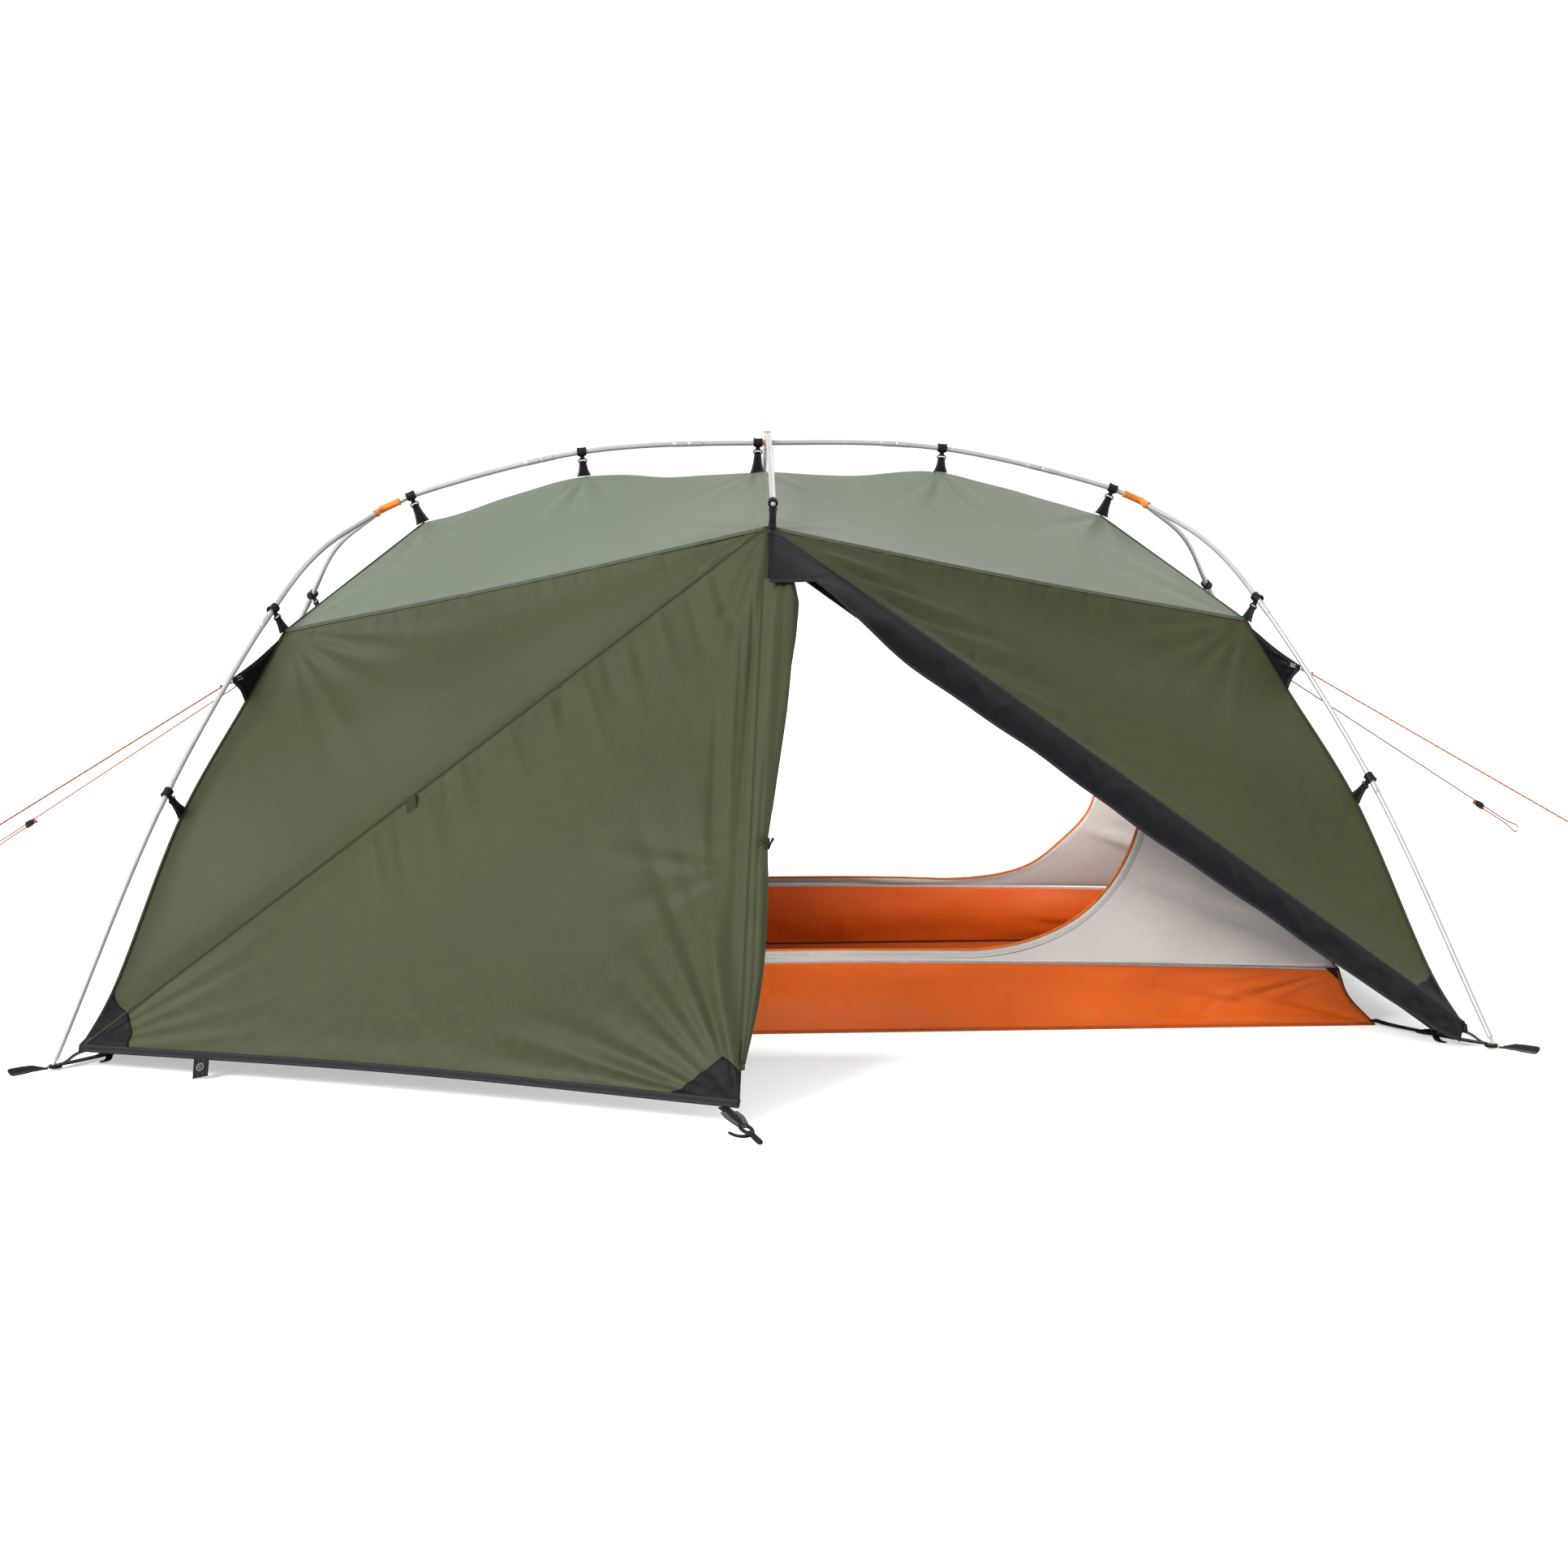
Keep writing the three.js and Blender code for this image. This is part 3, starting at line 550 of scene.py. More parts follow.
def tape_material(name, color, rows=(), thread_color=None, roughness=0.7, rib=0.0011, pitch=0.0036,
                  thick=0.00045):
    """Woven tape or a sewn seam: ribs across it, and rows of stitches at given distances from its middle."""
    s = Shader(name)
    u, v, _ = s.split(s.uv)
    ribs = s.wave(v, rib)
    cords = s.wave(u, rib * 1.4)
    weave = s.math("MULTIPLY", ribs, cords)
    mottle = s.noise(s.place, 60.0, 3.0, 0.6)
    pucker = s.noise(s.scaled(s.uv, (20.0, 110.0, 1.0)), 1.0, 2.0)
    base = s.blend(s.fit(mottle, 0.35, 0.65), tint(color, 0.82), tint(color, 1.2))
    base = s.blend(s.math("MULTIPLY", s.fit(weave, -1.0, 1.0), 0.35), base, tint(color, 0.6))
    height = s.math("MULTIPLY", weave, 0.2)
    if rows:
        beat = s.math("FRACT", s.math("DIVIDE", v, pitch))
        dash = s.math("MULTIPLY", s.math("GREATER_THAN", beat, 0.18), s.math("LESS_THAN", beat, 0.82))
        aside = s.math("ABSOLUTE", u)
        on_row = None
        for row in rows:
            close = s.math("LESS_THAN", s.math("ABSOLUTE", s.math("SUBTRACT", aside, row)), thick)
            on_row = close if on_row is None else s.math("MAXIMUM", on_row, close)
        stitch = s.math("MULTIPLY", on_row, dash)
        groove = s.math("MULTIPLY", on_row, -0.6)
        base = s.blend(stitch, base, (*thread_color, 1.0) if thread_color else tint(color, 1.7))
        height = s.math("ADD", s.math("ADD", height, groove), s.math("MULTIPLY", stitch, 1.4))
    s.set(Base_Color=base, Roughness=s.fit(mottle, 0.3, 0.7, roughness - 0.1, roughness + 0.1))
    s.set(Specular_IOR_Level=0.1)
    s.set(Normal=s.bump(height, 0.5, 0.0004, s.bump(pucker, 0.35, 0.0018)))
    return s.material


def reflective_webbing(name, color):
    """Black webbing with a reflective thread that shows as white dashes along both edges."""
    s = Shader(name)
    u, v, _ = s.split(s.uv)
    ribs = s.wave(v, 0.0016)
    beat = s.math("FRACT", s.math("DIVIDE", v, 0.0052))
    edge_band = s.math("LESS_THAN", s.math("ABSOLUTE", s.math("SUBTRACT", s.math("ABSOLUTE", u), 0.0066)),
                       0.0006)
    dash = s.math("MULTIPLY", edge_band, s.math("GREATER_THAN", beat, 0.45))
    mottle = s.noise(s.place, 70.0, 3.0, 0.6)
    base = s.blend(s.fit(mottle, 0.35, 0.65), tint(color, 0.8), tint(color, 1.3))
    base = s.blend(dash, base, (0.16, 0.16, 0.165, 1.0))
    s.set(Base_Color=base, Roughness=s.fit(mottle, 0.3, 0.7, 0.5, 0.75),
          Metallic=s.math("MULTIPLY", dash, 0.3))
    s.set(Specular_IOR_Level=0.08)
    s.set(Normal=s.bump(s.math("ADD", ribs, s.math("MULTIPLY", dash, 0.8)), 0.4, 0.0004))
    return s.material


def plastic_material(name, color, roughness=0.38, grain=0.3):
    """Moulded acetal with a fine spark-eroded grain and scuffs."""
    s = Shader(name)
    grit = s.noise(s.place, 2400.0, 2.0)
    scuffs = s.noise(s.scaled(s.place, (60.0, 60.0, 260.0)), 1.0, 6.0, 0.7)
    clouds = s.noise(s.place, 90.0, 2.0)
    base = s.blend(s.fit(clouds, 0.3, 0.7), tint(color, 0.85), tint(color, 1.15))
    base = s.blend(s.fit(scuffs, 0.62, 0.8, 0.0, 0.4), base, tint(color, 2.2))
    s.set(Base_Color=base, Roughness=s.fit(scuffs, 0.3, 0.7, roughness - 0.08, roughness + 0.2),
          Specular_IOR_Level=0.1)
    s.set(Normal=s.bump(grit, grain, 0.00008))
    return s.material


def metal_material(name, color, roughness=0.26, drawn=True):
    """Anodised aluminium with lengthwise draw marks and a little oxide mottling."""
    s = Shader(name)
    marks = s.noise(s.scaled(s.uv, (5200.0, 14.0, 1.0)), 1.0, 3.0) if drawn else s.noise(s.place, 900.0, 3.0)
    clouds = s.noise(s.place, 14.0, 4.0)
    scratches = s.noise(s.scaled(s.place, (40.0, 40.0, 700.0)), 1.0, 5.0, 0.7)
    base = s.blend(s.fit(clouds, 0.3, 0.7), tint(color, 0.93), tint(color, 1.05))
    base = s.blend(s.fit(scratches, 0.66, 0.78, 0.0, 0.3), base, tint(color, 0.7))
    s.set(Base_Color=base, Metallic=0.3, Specular_IOR_Level=0.4)
    s.set(Roughness=s.fit(s.math("ADD", marks, clouds), 0.7, 1.3, roughness - 0.06, roughness + 0.12))
    s.set(Normal=s.bump(marks, 0.12, 0.00005))
    return s.material


def cord_material(name, color, fleck):
    """A braided polyester line: crossed strands with a tracer thread."""
    s = Shader(name)
    u, v, _ = s.split(s.uv)
    around = s.math("MULTIPLY", u, 2200.0)
    along = s.math("MULTIPLY", v, 1500.0)
    one = s.math("SINE", s.math("ADD", around, along))
    two = s.math("SINE", s.math("SUBTRACT", around, along))
    braid = s.math("MAXIMUM", one, two)
    tracer = s.math("GREATER_THAN", s.math("SINE", s.math("ADD", around, s.math("MULTIPLY", v, 500.0))), 0.93)
    mottle = s.noise(s.place, 160.0, 2.0)
    # The strands are painted lighter on their crowns and darker in the grooves between them: painted
    # highlight and painted shade.
    base = s.blend(s.fit(braid, -0.2, 1.0), tint(color, 0.62), tint(color, 1.12))
    base = s.blend(s.math("MULTIPLY", tracer, 0.7), base, (*fleck, 1.0))
    s.set(Base_Color=base, Roughness=s.fit(mottle, 0.3, 0.7, 0.6, 0.85), Specular_IOR_Level=0.1)
    s.set(Normal=s.bump(braid, 0.5, 0.0003))
    return s.material


def zip_material(name, color):
    """Zip tape with its coil down the middle."""
    s = Shader(name)
    u, v, _ = s.split(s.uv)
    teeth = s.wave(v, 0.0016)
    coil = s.math("LESS_THAN", s.math("ABSOLUTE", u), 0.0022)
    ribs = s.wave(v, 0.0008)
    base = s.blend(coil, tint(color, 1.0), tint(color, 0.75))
    # The coil's teeth are painted lighter on their crowns: a painted highlight.
    base = s.blend(s.math("MULTIPLY", coil, s.fit(teeth, 0.2, 1.0)), base, tint(color, 1.5))
    mottle = s.noise(s.place, 80.0, 2.0)
    s.set(Base_Color=base, Roughness=s.fit(mottle, 0.3, 0.7, 0.4, 0.7))
    height = s.math("ADD", s.math("MULTIPLY", coil, s.math("ADD", teeth, 2.0)),
                    s.math("MULTIPLY", ribs, 0.15))
    s.set(Normal=s.bump(height, 0.6, 0.0005))
    return s.material


def floor_material():
    s = Shader("floor_matt")
    clouds = s.noise(s.place, 0.6, 3.0)
    grit = s.noise(s.place, 220.0, 3.0)
    s.set(Base_Color=s.blend(clouds, (0.62, 0.62, 0.617, 1.0), (0.66, 0.66, 0.657, 1.0)))
    s.set(Roughness=s.fit(grit, 0.3, 0.7, 0.75, 0.9), Specular_IOR_Level=0.15, Emission_Strength=0.45)
    s.set(Normal=s.bump(grit, 0.05, 0.0004))
    return s.material


OLIVE = (0.0300, 0.0325, 0.0140)
SAGE = (0.088, 0.105, 0.077)
CHARCOAL = (0.0042, 0.0045, 0.0056)
INK = (0.0045, 0.0045, 0.0050)
RUST = (0.36, 0.060, 0.0045)
CREAM = (0.29, 0.27, 0.255)
TANGERINE = (0.29, 0.062, 0.014)
SILVER = (0.29, 0.29, 0.284)

fly_olive = cloth_material("fly_olive_cloth", OLIVE)
fly_sage = cloth_material("fly_sage_cloth", SAGE, spread=0.07)
black_cloth = cloth_material("black_reinforcing_cloth", CHARCOAL, roughness=0.5, sheen=0.0, grid=0.0045,
                             spread=0.2, gloss=0.06)
inner_orange = cloth_material("inner_orange_cloth", RUST, roughness=0.46, spread=0.1, glow=0.3,
                              reach=(1.0, 0.25, 0.15))
inner_grey = cloth_material("inner_grey_cloth", CREAM, roughness=0.62, grid=0.005, spread=0.06, glow=0.5)
olive_seam = tape_material("olive_seam", tuple(0.6 * c for c in OLIVE), rows=(0.0028,),
                           thread_color=(0.05, 0.053, 0.026))
sage_seam = tape_material("sage_seam", tuple(0.5 * c for c in SAGE), rows=(0.0028,),
                          thread_color=(0.085, 0.10, 0.07))
black_binding = tape_material("black_binding", (0.009, 0.009, 0.011), rows=(0.0042,),
                              thread_color=(0.04, 0.04, 0.045))
black_tape = tape_material("black_tape", (0.007, 0.007, 0.009), rows=(0.0022,),
                           thread_color=(0.045, 0.045, 0.05))
webbing = tape_material("black_webbing", INK, rows=(0.0045,), thread_color=(0.05, 0.05, 0.055), rib=0.0022)
reflective_edge = tape_material("reflective_edge_webbing", (0.02, 0.02, 0.022), rows=(0.0018,),
                                thread_color=(0.13, 0.13, 0.135), rib=0.0016, pitch=0.0042, thick=0.0008)
reflective = reflective_webbing("reflective_webbing", (0.008, 0.008, 0.009))
orange_piping = tape_material("orange_piping", (0.36, 0.085, 0.012), rib=0.0014)
grey_seam = tape_material("grey_seam", (0.255, 0.24, 0.225), rows=(0.0014,), thread_color=(0.34, 0.32, 0.30))
orange_seam = tape_material("orange_seam", (0.2, 0.036, 0.004), rows=(0.0028,),
                            thread_color=(0.38, 0.1, 0.02))
black_plastic = plastic_material("black_plastic", (0.005, 0.005, 0.0056), roughness=0.45)
orange_plastic = plastic_material("orange_anodising", (0.52, 0.145, 0.02), roughness=0.32, grain=0.15)
pole_metal = metal_material("pole_metal", SILVER)
zip_metal = metal_material("zip_metal", (0.50, 0.51, 0.52), roughness=0.3, drawn=False)
brass = metal_material("eyelet_metal", (0.05, 0.048, 0.045), roughness=0.3, drawn=False)
gold_thread = tape_material("gold_thread", (0.45, 0.36, 0.16), rib=0.0012)
white_thread = tape_material("white_thread", (0.75, 0.74, 0.72), rib=0.0009)
guy_cord = cord_material("guy_cord", TANGERINE, (0.42, 0.3, 0.2))
black_cord = cord_material("black_elastic", (0.02, 0.02, 0.022), (0.4, 0.4, 0.4))
zip_tape = zip_material("zip_tape", (0.012, 0.012, 0.014))
inner_zip = zip_material("inner_zip_tape", (0.27, 0.253, 0.238))


# ---------- guy lines ----------
def guy_frame(sx, sy):
    """Where a guy line starts, the way it runs, and the way its two strands lie one above the other."""
    level = math.hypot(1, GUY_DROP)
    along = P(sx * math.cos(GUY_HEADING), sy * math.sin(GUY_HEADING), -GUY_DROP) / level
    across = unit(np.cross(UP, along))
    over = unit(np.cross(along, across))
    return mirrored(GUY_TIP, sx, sy), along, -over if over[2] > 0 else over


def knot(center, axis, size, material):
    """An overhand knot, drawn as a small closed trefoil of cord."""
    axis = unit(np.asarray(axis, float))
    side = unit(np.cross(axis, P(0.3, 0.2, 1)))
    other = np.cross(axis, side)
    t = np.arange(48) / 48 * 2 * np.pi
    x = np.sin(t) + 2 * np.sin(2 * t)
    y = np.cos(t) - 2 * np.cos(2 * t)
    z = -np.sin(3 * t) * 1.3
    path = center + size * (x[:, None] * side + y[:, None] * other + z[:, None] * axis)
    tangents = unit(np.roll(path, -1, axis=0) - np.roll(path, 1, axis=0))
    helper = unit(path - center)
    return sweep(path, round_profile(size * 0.95, 10),
                 helper - tangents * (helper * tangents).sum(1, keepdims=True), material, closed=True)


def add_guy_line(name, sx, sy):
    tip, along, over = guy_frame(sx, sy)
    middle = STRAND_GAP / 2
    side = np.cross(along, over)

    def at(distance, aside):
        return tip + along * distance + over * (middle + aside)

    loop = GUY_LENGTH - LOOP_RADIUS
    slant = LOOP_RADIUS * math.sqrt(0.5)
    opening = [(loop - 50, middle), (loop - 25, 5), (loop - 9, 7.2), (loop, 8), (loop + slant, slant)]
    out = [at(d, -middle) for d in (3, 250, 500, 750, GUY_SLIDER_AT)]
    round_peg = [at(d, -aside) for d, aside in opening] + [at(GUY_LENGTH, 0)]
    round_peg += [at(loop + slant, slant), at(loop, 8)]
    route = np.array(out + round_peg)
    dense = spline(route, steps(len(route) * 14))
    path = even(dense, 9.0)
    line = piece(f"guy_cord_{name}", tube(path, CORD_RADIUS, guy_cord, sides=10),
                 replaces=[f"guy_line_{name}"])
    back = [at(loop, 8), at(loop - 9, 7.2), at(loop - 25, 5), at(loop - 50, middle),
            at(GUY_SLIDER_AT, middle)]
    tail_route = spline(back + [at(GUY_SLIDER_AT - 20, middle)], steps(90))
    tail = piece(f"guy_tail_{name}", tube(even(tail_route, 5.0), CORD_RADIUS, guy_cord, sides=10), body=None)
    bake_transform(tail)

    center = at(GUY_SLIDER_AT, 0)
    upper_side = [(-15, 3.6), (-11, 5.6), (-4, 6.6), (4, 7.0), (12, 6.8), (15, 5.0)]
    outline = upper_side + [(x, -y) for x, y in reversed(upper_side)]
    shell = plate(center, along, over, outline, 7.0, 1.6, black_plastic)
    grips = [lathe(center + along * d, side, [(-4.1, 0.4), (-4.0, 1.2), (4.0, 1.2), (4.1, 0.4)],
                   black_plastic, 8)
             for d in (-8, -3, 2, 7)]
    a = np.arange(16) / 16 * 2 * np.pi
    ring = 2.6 * np.stack([np.cos(a), np.sin(a)], 1) @ np.stack([over, side])
    rims = [tube(center + over * aside + along * d + ring, 0.7, black_plastic, sides=8, closed=True)
            for aside in (-middle, middle) for d in (-15, 15)]
    slider = piece(f"line_grip_{name}", [shell, *grips, *rims], body=f"guy_slider_{name}",
                   replaces=[f"guy_slider_{name}"])
    end_knot = piece(f"tail_knot_{name}", knot(at(GUY_SLIDER_AT - 21, middle), along, 1.25, guy_cord),
                     body=f"guy_slider_{name}")
    top_knot = piece(f"tip_knot_{name}", [knot(at(7, -middle), along, 1.55, guy_cord),
                                          knot(at(26, -middle), along, 1.15, guy_cord)])


for corner_name, corner_x, corner_y in CORNERS:
    add_guy_line(corner_name, corner_x, corner_y)


# ---------- poles ----------
JOINT_HALF = 27  # half the length of a pole section's sleeve
JOINT_RISE = 0.55


def pole(path, radius, joints, tip=None):
    """A drawn tube with a sleeve at each section joint; joints and tip are distances along it."""
    far = distances(path)
    total = far[-1]
    marks = [(0, radius)]
    for j in joints:
        thick = radius + JOINT_RISE
        marks += [(j - JOINT_HALF - 0.8, radius), (j - JOINT_HALF, thick), (j - 0.7, thick),
                  (j, radius - 0.4)]
        marks += [(j + 0.7, thick), (j + JOINT_HALF, thick), (j + JOINT_HALF + 0.8, radius)]
    if tip:
        marks += [(total - tip, radius), (total - tip + 1, radius * 0.72), (total - 4, radius * 0.6)]
        marks += [(total - 1.2, radius * 0.45)]
    marks.append((total, radius * 0.2 if tip else radius))
    marks = np.array(marks)
    places = np.unique(np.concatenate([np.arange(0, total, 9.0), marks[:, 0]]))
    line = np.stack([np.interp(places, far, path[:, k]) for k in range(3)], axis=1)
    return tube(line, np.interp(places, marks[:, 0], marks[:, 1]), pole_metal, sides=20)


def ridge_curve(ts):
    left = [mirrored(p, -1, 1) for p in RIDGE_HALF]
    return spline([*left, RIDGE_TOP, *reversed(RIDGE_HALF)], ts)


def leg_curve(sx, sy):
    points = [lerp(HUB, LEG_SHOULDER, 0.1), LEG_SHOULDER, LEG_CLIP_HIGH, LEG_CLIP_LOW, FOOT]
    return edge(*[mirrored(p, sx, sy) for p in points])


def cross_curve(ts):
    fall = CROSS_TOP - CROSS_TIP[2]
    points = [P(CROSS_X, CROSS_TIP[1] * k, CROSS_TOP - fall * k * k) for k in (-1, -0.5, 0, 0.5, 1)]
    return spline(points, ts)


ridge_path = ridge_curve(steps(400))
ridge_length = distances(ridge_path)[-1]
piece("ridge_pole_tube", pole(ridge_path, POLE_RADIUS, [ridge_length * k for k in (0.2, 0.4, 0.68, 0.88)]),
      replaces=["ridge_pole"])
leg_paths = {}
for corner_name, corner_x, corner_y in CORNERS:
    leg_path = leg_curve(corner_x, corner_y)(steps(400))
    leg_paths[corner_name] = leg_path
    reach = leg_path[-1] + unit(leg_path[-1] - leg_path[-8]) * 10
    piece(f"leg_pole_tube_{corner_name}", pole(np.vstack([leg_path, reach]), POLE_RADIUS, [395, 800], tip=17),
          replaces=[f"leg_pole_{corner_name}"])


def sleeve(start, direction, length, radius):
    """A moulded socket with a rolled lip at its open end and a soft shoulder at the other."""
    lip = 1.4
    profile = [(0, radius - 2.2), (0.8, radius - 0.6), (2.2, radius), (length - 4, radius),
               (length - 3.4, radius + 0.7), (length - 0.8, radius + 0.7), (length, radius),
               (length, radius - lip), (length - 6, radius - lip - 0.3)]
    return lathe(start, direction, profile, orange_plastic, 24)


def add_hub(name, sx):
    """The ball and three sockets where two legs meet the ridge pole."""
    middle = mirrored(HUB, sx, 1)
    ends = ridge_path[::-1] if sx > 0 else ridge_path
    inwards = unit(ends[8] - ends[0])
    length = np.linalg.norm(ends[0] + inwards * 5 - middle) + 3
    parts = [sleeve(middle - inwards * 3, inwards, length, 6.6)]
    for sy in (-1, 1):
        leg = leg_curve(sx, sy)(steps(60))
        out = unit(leg[1] - leg[0])
        length = np.linalg.norm(leg[0] + out * 3 - middle) + 3
        parts.append(sleeve(middle - out * 3, out, length, 6.2))
    ball = [(-7.4 * math.cos(a), 7.4 * math.sin(a)) for a in np.linspace(0.05, math.pi - 0.05, 12)]
    parts.append(lathe(middle, inwards, ball, orange_plastic, 24))
    piece(f"{name}_sleeves", parts, replaces=[name])


add_hub("hub_left", -1)
add_hub("hub_right", 1)


def add_crossing():
    """The cross pole, and the saddle that holds it on the ridge pole."""
    cross_path = cross_curve(steps(240))
    length = distances(cross_path)[-1]
    piece("cross_pole_tube", pole(cross_path, CROSS_RADIUS, [length * 0.27, length * 0.73]),
          body="cross_pole_assembly", replaces=["cross_pole"])
    ridge_z = float(ridge_path[len(ridge_path) // 2, 2])
    saddle_top = CROSS_TOP - CROSS_RADIUS - 0.6
    saddle_low = ridge_z - 8
    height = saddle_top - saddle_low
    middle = P(CROSS_X, 0, (saddle_top + saddle_low) / 2)
    parts = [plate(middle + P(0, y, 0), P(1, 0, 0), UP, rounded(8, height, 3.5), 4.6, 1.2, orange_plastic)
             for y in (-5.6, 5.6)]
    parts.append(plate(middle + P(0, 0, height / 2 - 3), P(1, 0, 0), P(0, 1, 0), rounded(13, 15, 3), 6, 1.2,
                       orange_plastic))
    parts.append(plate(middle - P(0, 0, height / 2 - 1.6), P(1, 0, 0), P(0, 1, 0), rounded(13, 15, 3), 3, 1,
                       orange_plastic))
    cap = CROSS_TOP + CROSS_RADIUS + 0.6
    parts.append(lathe(P(CROSS_X, 0, cap), UP, [(0, 2), (0, 6.3), (0.6, 6.6), (2.2, 6.4), (3.2, 5), (3.4, 1)],
                       orange_plastic, 24))
    piece("crossing_saddle", parts, replaces=["cross_hub"])


add_crossing()


def stitch_rows(center, x_axis, y_axis, width, height, rows, material, gap=2.2):
    """A bar tack: short raised threads laid side by side across a strap."""
    facing = unit(np.cross(x_axis, y_axis))
    parts = []
    count = max(2, int(height / gap))
    for row in range(rows):
        x = (row / max(rows - 1, 1) - 0.5) * width
        for k in range(count):
            y = (k / (count - 1) - 0.5) * height
            lean = 0.35 if k % 2 else -0.35
            half = gap * 0.42
            middle = center + x_axis * x + y_axis * y + facing * 0.15
            ends = [middle + (y_axis * d + x_axis * lean * d) - facing * 0.25 * abs(d / half)
                    for d in (-half, 0, half)]
            parts.append(tube(np.array(ends), 0.42, material, sides=5))
    return parts


def add_apex_strap(name, sy):
    path = cross_curve(steps(240))
    path = path if sy < 0 else path[::-1]
    tip, inwards = path[0], unit(path[4] - path[0])
    low = mirrored(FLY_APEX, 1, sy) + P(CROSS_X - 2, sy * 3, -4)
    down = unit(low - tip)
    length = np.linalg.norm(low - tip)
    ring = [(-3.2, 6.0), (-3.6, 7.0), (-2.6, 8.6), (2, 9.0), (9, 8.8), (11.5, 7.6), (12, 5.9), (2, 5.7),
            (-3.2, 6.0)]
    parts = [lathe(tip, inwards, ring, black_plastic, 28)]
    parts.append(lathe(tip, -inwards, [(-1, 5.3), (1.5, 5.3), (3.2, 4.6), (4.0, 3.0), (4.2, 0.8)], pole_metal,
                       20))
    run = np.array([tip + down * d for d in np.linspace(7.5, length - 1, 14)])
    facing = unit(np.cross(P(1, 0, 0), down)) * (-1 if sy < 0 else 1)
    swell = np.interp(steps(14), [0, 0.15, 0.5, 1], [1.15, 0.95, 0.85, 1.05])
    for layer in (-1.0, 1.0):
        parts.append(sweep(run + facing * layer, strap_profile(14, 1.7), facing, webbing, widths(swell)))
    parts += stitch_rows(tip + down * (length * 0.62) + facing * 2.0, P(1, 0, 0), down, 8, 9, 4, black_tape)
    strap = piece(f"{name}_webbing", parts, body=None, replaces=[name])
    # The ring swings with the cross pole while the webbing's lower end stays sewn to the door's top.
    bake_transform(strap)


add_apex_strap("apex_strap_front", -1)
add_apex_strap("apex_strap_back", 1)


# ---------- clips ----------
def clip_parts(at, pole_axis, to):
    """A snap hook on the pole, a slotted ring under it, and webbing that widens down to the fly."""
    up = unit(at - to)
    normal = unit(np.cross(pole_axis, up))
    level = unit(np.cross(up, normal))
    length = np.linalg.norm(at - to)
    turn = np.linspace(math.radians(-62), math.radians(242), 26)
    hook = at + 7.4 * turned(turn, normal, up)
    band = strap_profile(13.5, 2.6)
    parts = [sweep(hook, band, unit(hook - at), black_plastic)]
    for side in (-7.0, 7.0):
        rim = at + level * side + 7.6 * turned(turn, normal, up)
        parts.append(tube(rim, np.interp(np.arange(26), [0, 3, 22, 25], [0.9, 1.9, 1.9, 0.9]), black_plastic,
                          sides=10))
    neck = [(-4.6, 4.4), (4.6, 4.4), (4.2, 0), (4.8, -4.4), (-4.8, -4.4), (-4.2, 0)]
    parts.append(plate(at - up * 10.2, level, up, neck, 4.6, 1.0, black_plastic))
    parts.append(hoop(at - up * 17.0, level, up, 15.5, 7.6, 3.6, 2.3, 3.4, black_plastic))
    rows = 16
    run = np.array([at - up * d for d in np.linspace(CLIP_TOP, length - 1.5, rows)])
    share = steps(rows)
    wide = np.interp(share, [0, 0.12, 0.5, 0.9, 1], [1.1, 1.15, 1.42, 2.0, 2.3])
    for layer in (-0.9, 0.9):
        bow = layer + 0.9 * np.sin(share * np.pi) * np.sign(layer) * 0.4
        parts.append(sweep(run + normal * bow[:, None], strap_profile(12, 1.5), normal, webbing,
                           widths(wide)))
    turn = np.linspace(0, 2 * np.pi, 13)[:-1]
    bar = at - up * (CLIP_TOP - 0.6)
    roll = bar + 2.3 * turned(turn, normal, up)
    parts.append(sweep(roll, strap_profile(11.2, 1.4), unit(roll - bar), webbing, closed=True))
    for face in (-1, 1):
        parts += stitch_rows(at - up * (CLIP_TOP + 7) + normal * face * 1.9, level, up * face, 7.5, 5, 3,
                             black_tape)
    return parts


def nearest(path, point):
    k = int(np.argmin(np.linalg.norm(path - point, axis=1)))
    k = min(max(k, 1), len(path) - 2)
    return path[k], unit(path[k + 1] - path[k - 1])


landings = [mirrored(FLY_RIDGE_END, -1, 1), mirrored(FLY_RIDGE_MID, -1, 1),
            P(RIDGE_CLIPS[2], 0, FLY_RIDGE_TOP[2]), FLY_RIDGE_MID, FLY_RIDGE_END]
for number, clip_x in enumerate(RIDGE_CLIPS):
    clip_at, clip_axis = nearest(ridge_path,
                                 P(clip_x, 0, np.interp(clip_x, ridge_path[:, 0], ridge_path[:, 2])))
    piece(f"ridge_clip_hook_{number + 1}", clip_parts(clip_at, clip_axis, landings[number]),
          replaces=[f"ridge_clip_{number + 1}"])
for corner_name, corner_x, corner_y in CORNERS:
    for level_name, pole_point, cloth_point in (("high", LEG_CLIP_HIGH, FLY_CORNER),
                                                ("low", LEG_CLIP_LOW, FLY_LOW)):
        clip_at, clip_axis = nearest(leg_paths[corner_name], mirrored(pole_point, corner_x, corner_y))
        piece(f"leg_hook_{level_name}_{corner_name}",
              clip_parts(clip_at, clip_axis, mirrored(cloth_point, corner_x, corner_y)),
              replaces=[f"leg_clip_{level_name}_{corner_name}"])


# ---------- fly sheet ----------
def corner_edge(sx, sy):
    points = (FLY_CORNER, FLY_CORNER_BEND, FLY_LOW, FLY_LOW_BEND, FLY_HEM_CORNER)
    return edge(*[mirrored(p, sx, sy) for p in points])


def roof_seam(sx, sy):
    """From the apex to the corner, hanging a little between them."""
    apex, corner = mirrored(FLY_APEX, sx, sy), mirrored(FLY_CORNER, sx, sy)
    middle = lerp(apex, corner, 0.5) + P(0, 0, -5)
    return edge(apex, middle, corner)


def ridge_line(sx):
    return edge(*[mirrored(p, sx, 1) for p in (FLY_RIDGE_TOP, RIDGE_SAG, FLY_RIDGE_MID, FLY_RIDGE_END)])


FOLD_DEPTH = 0.9
FOLD_SPREAD = 0.78


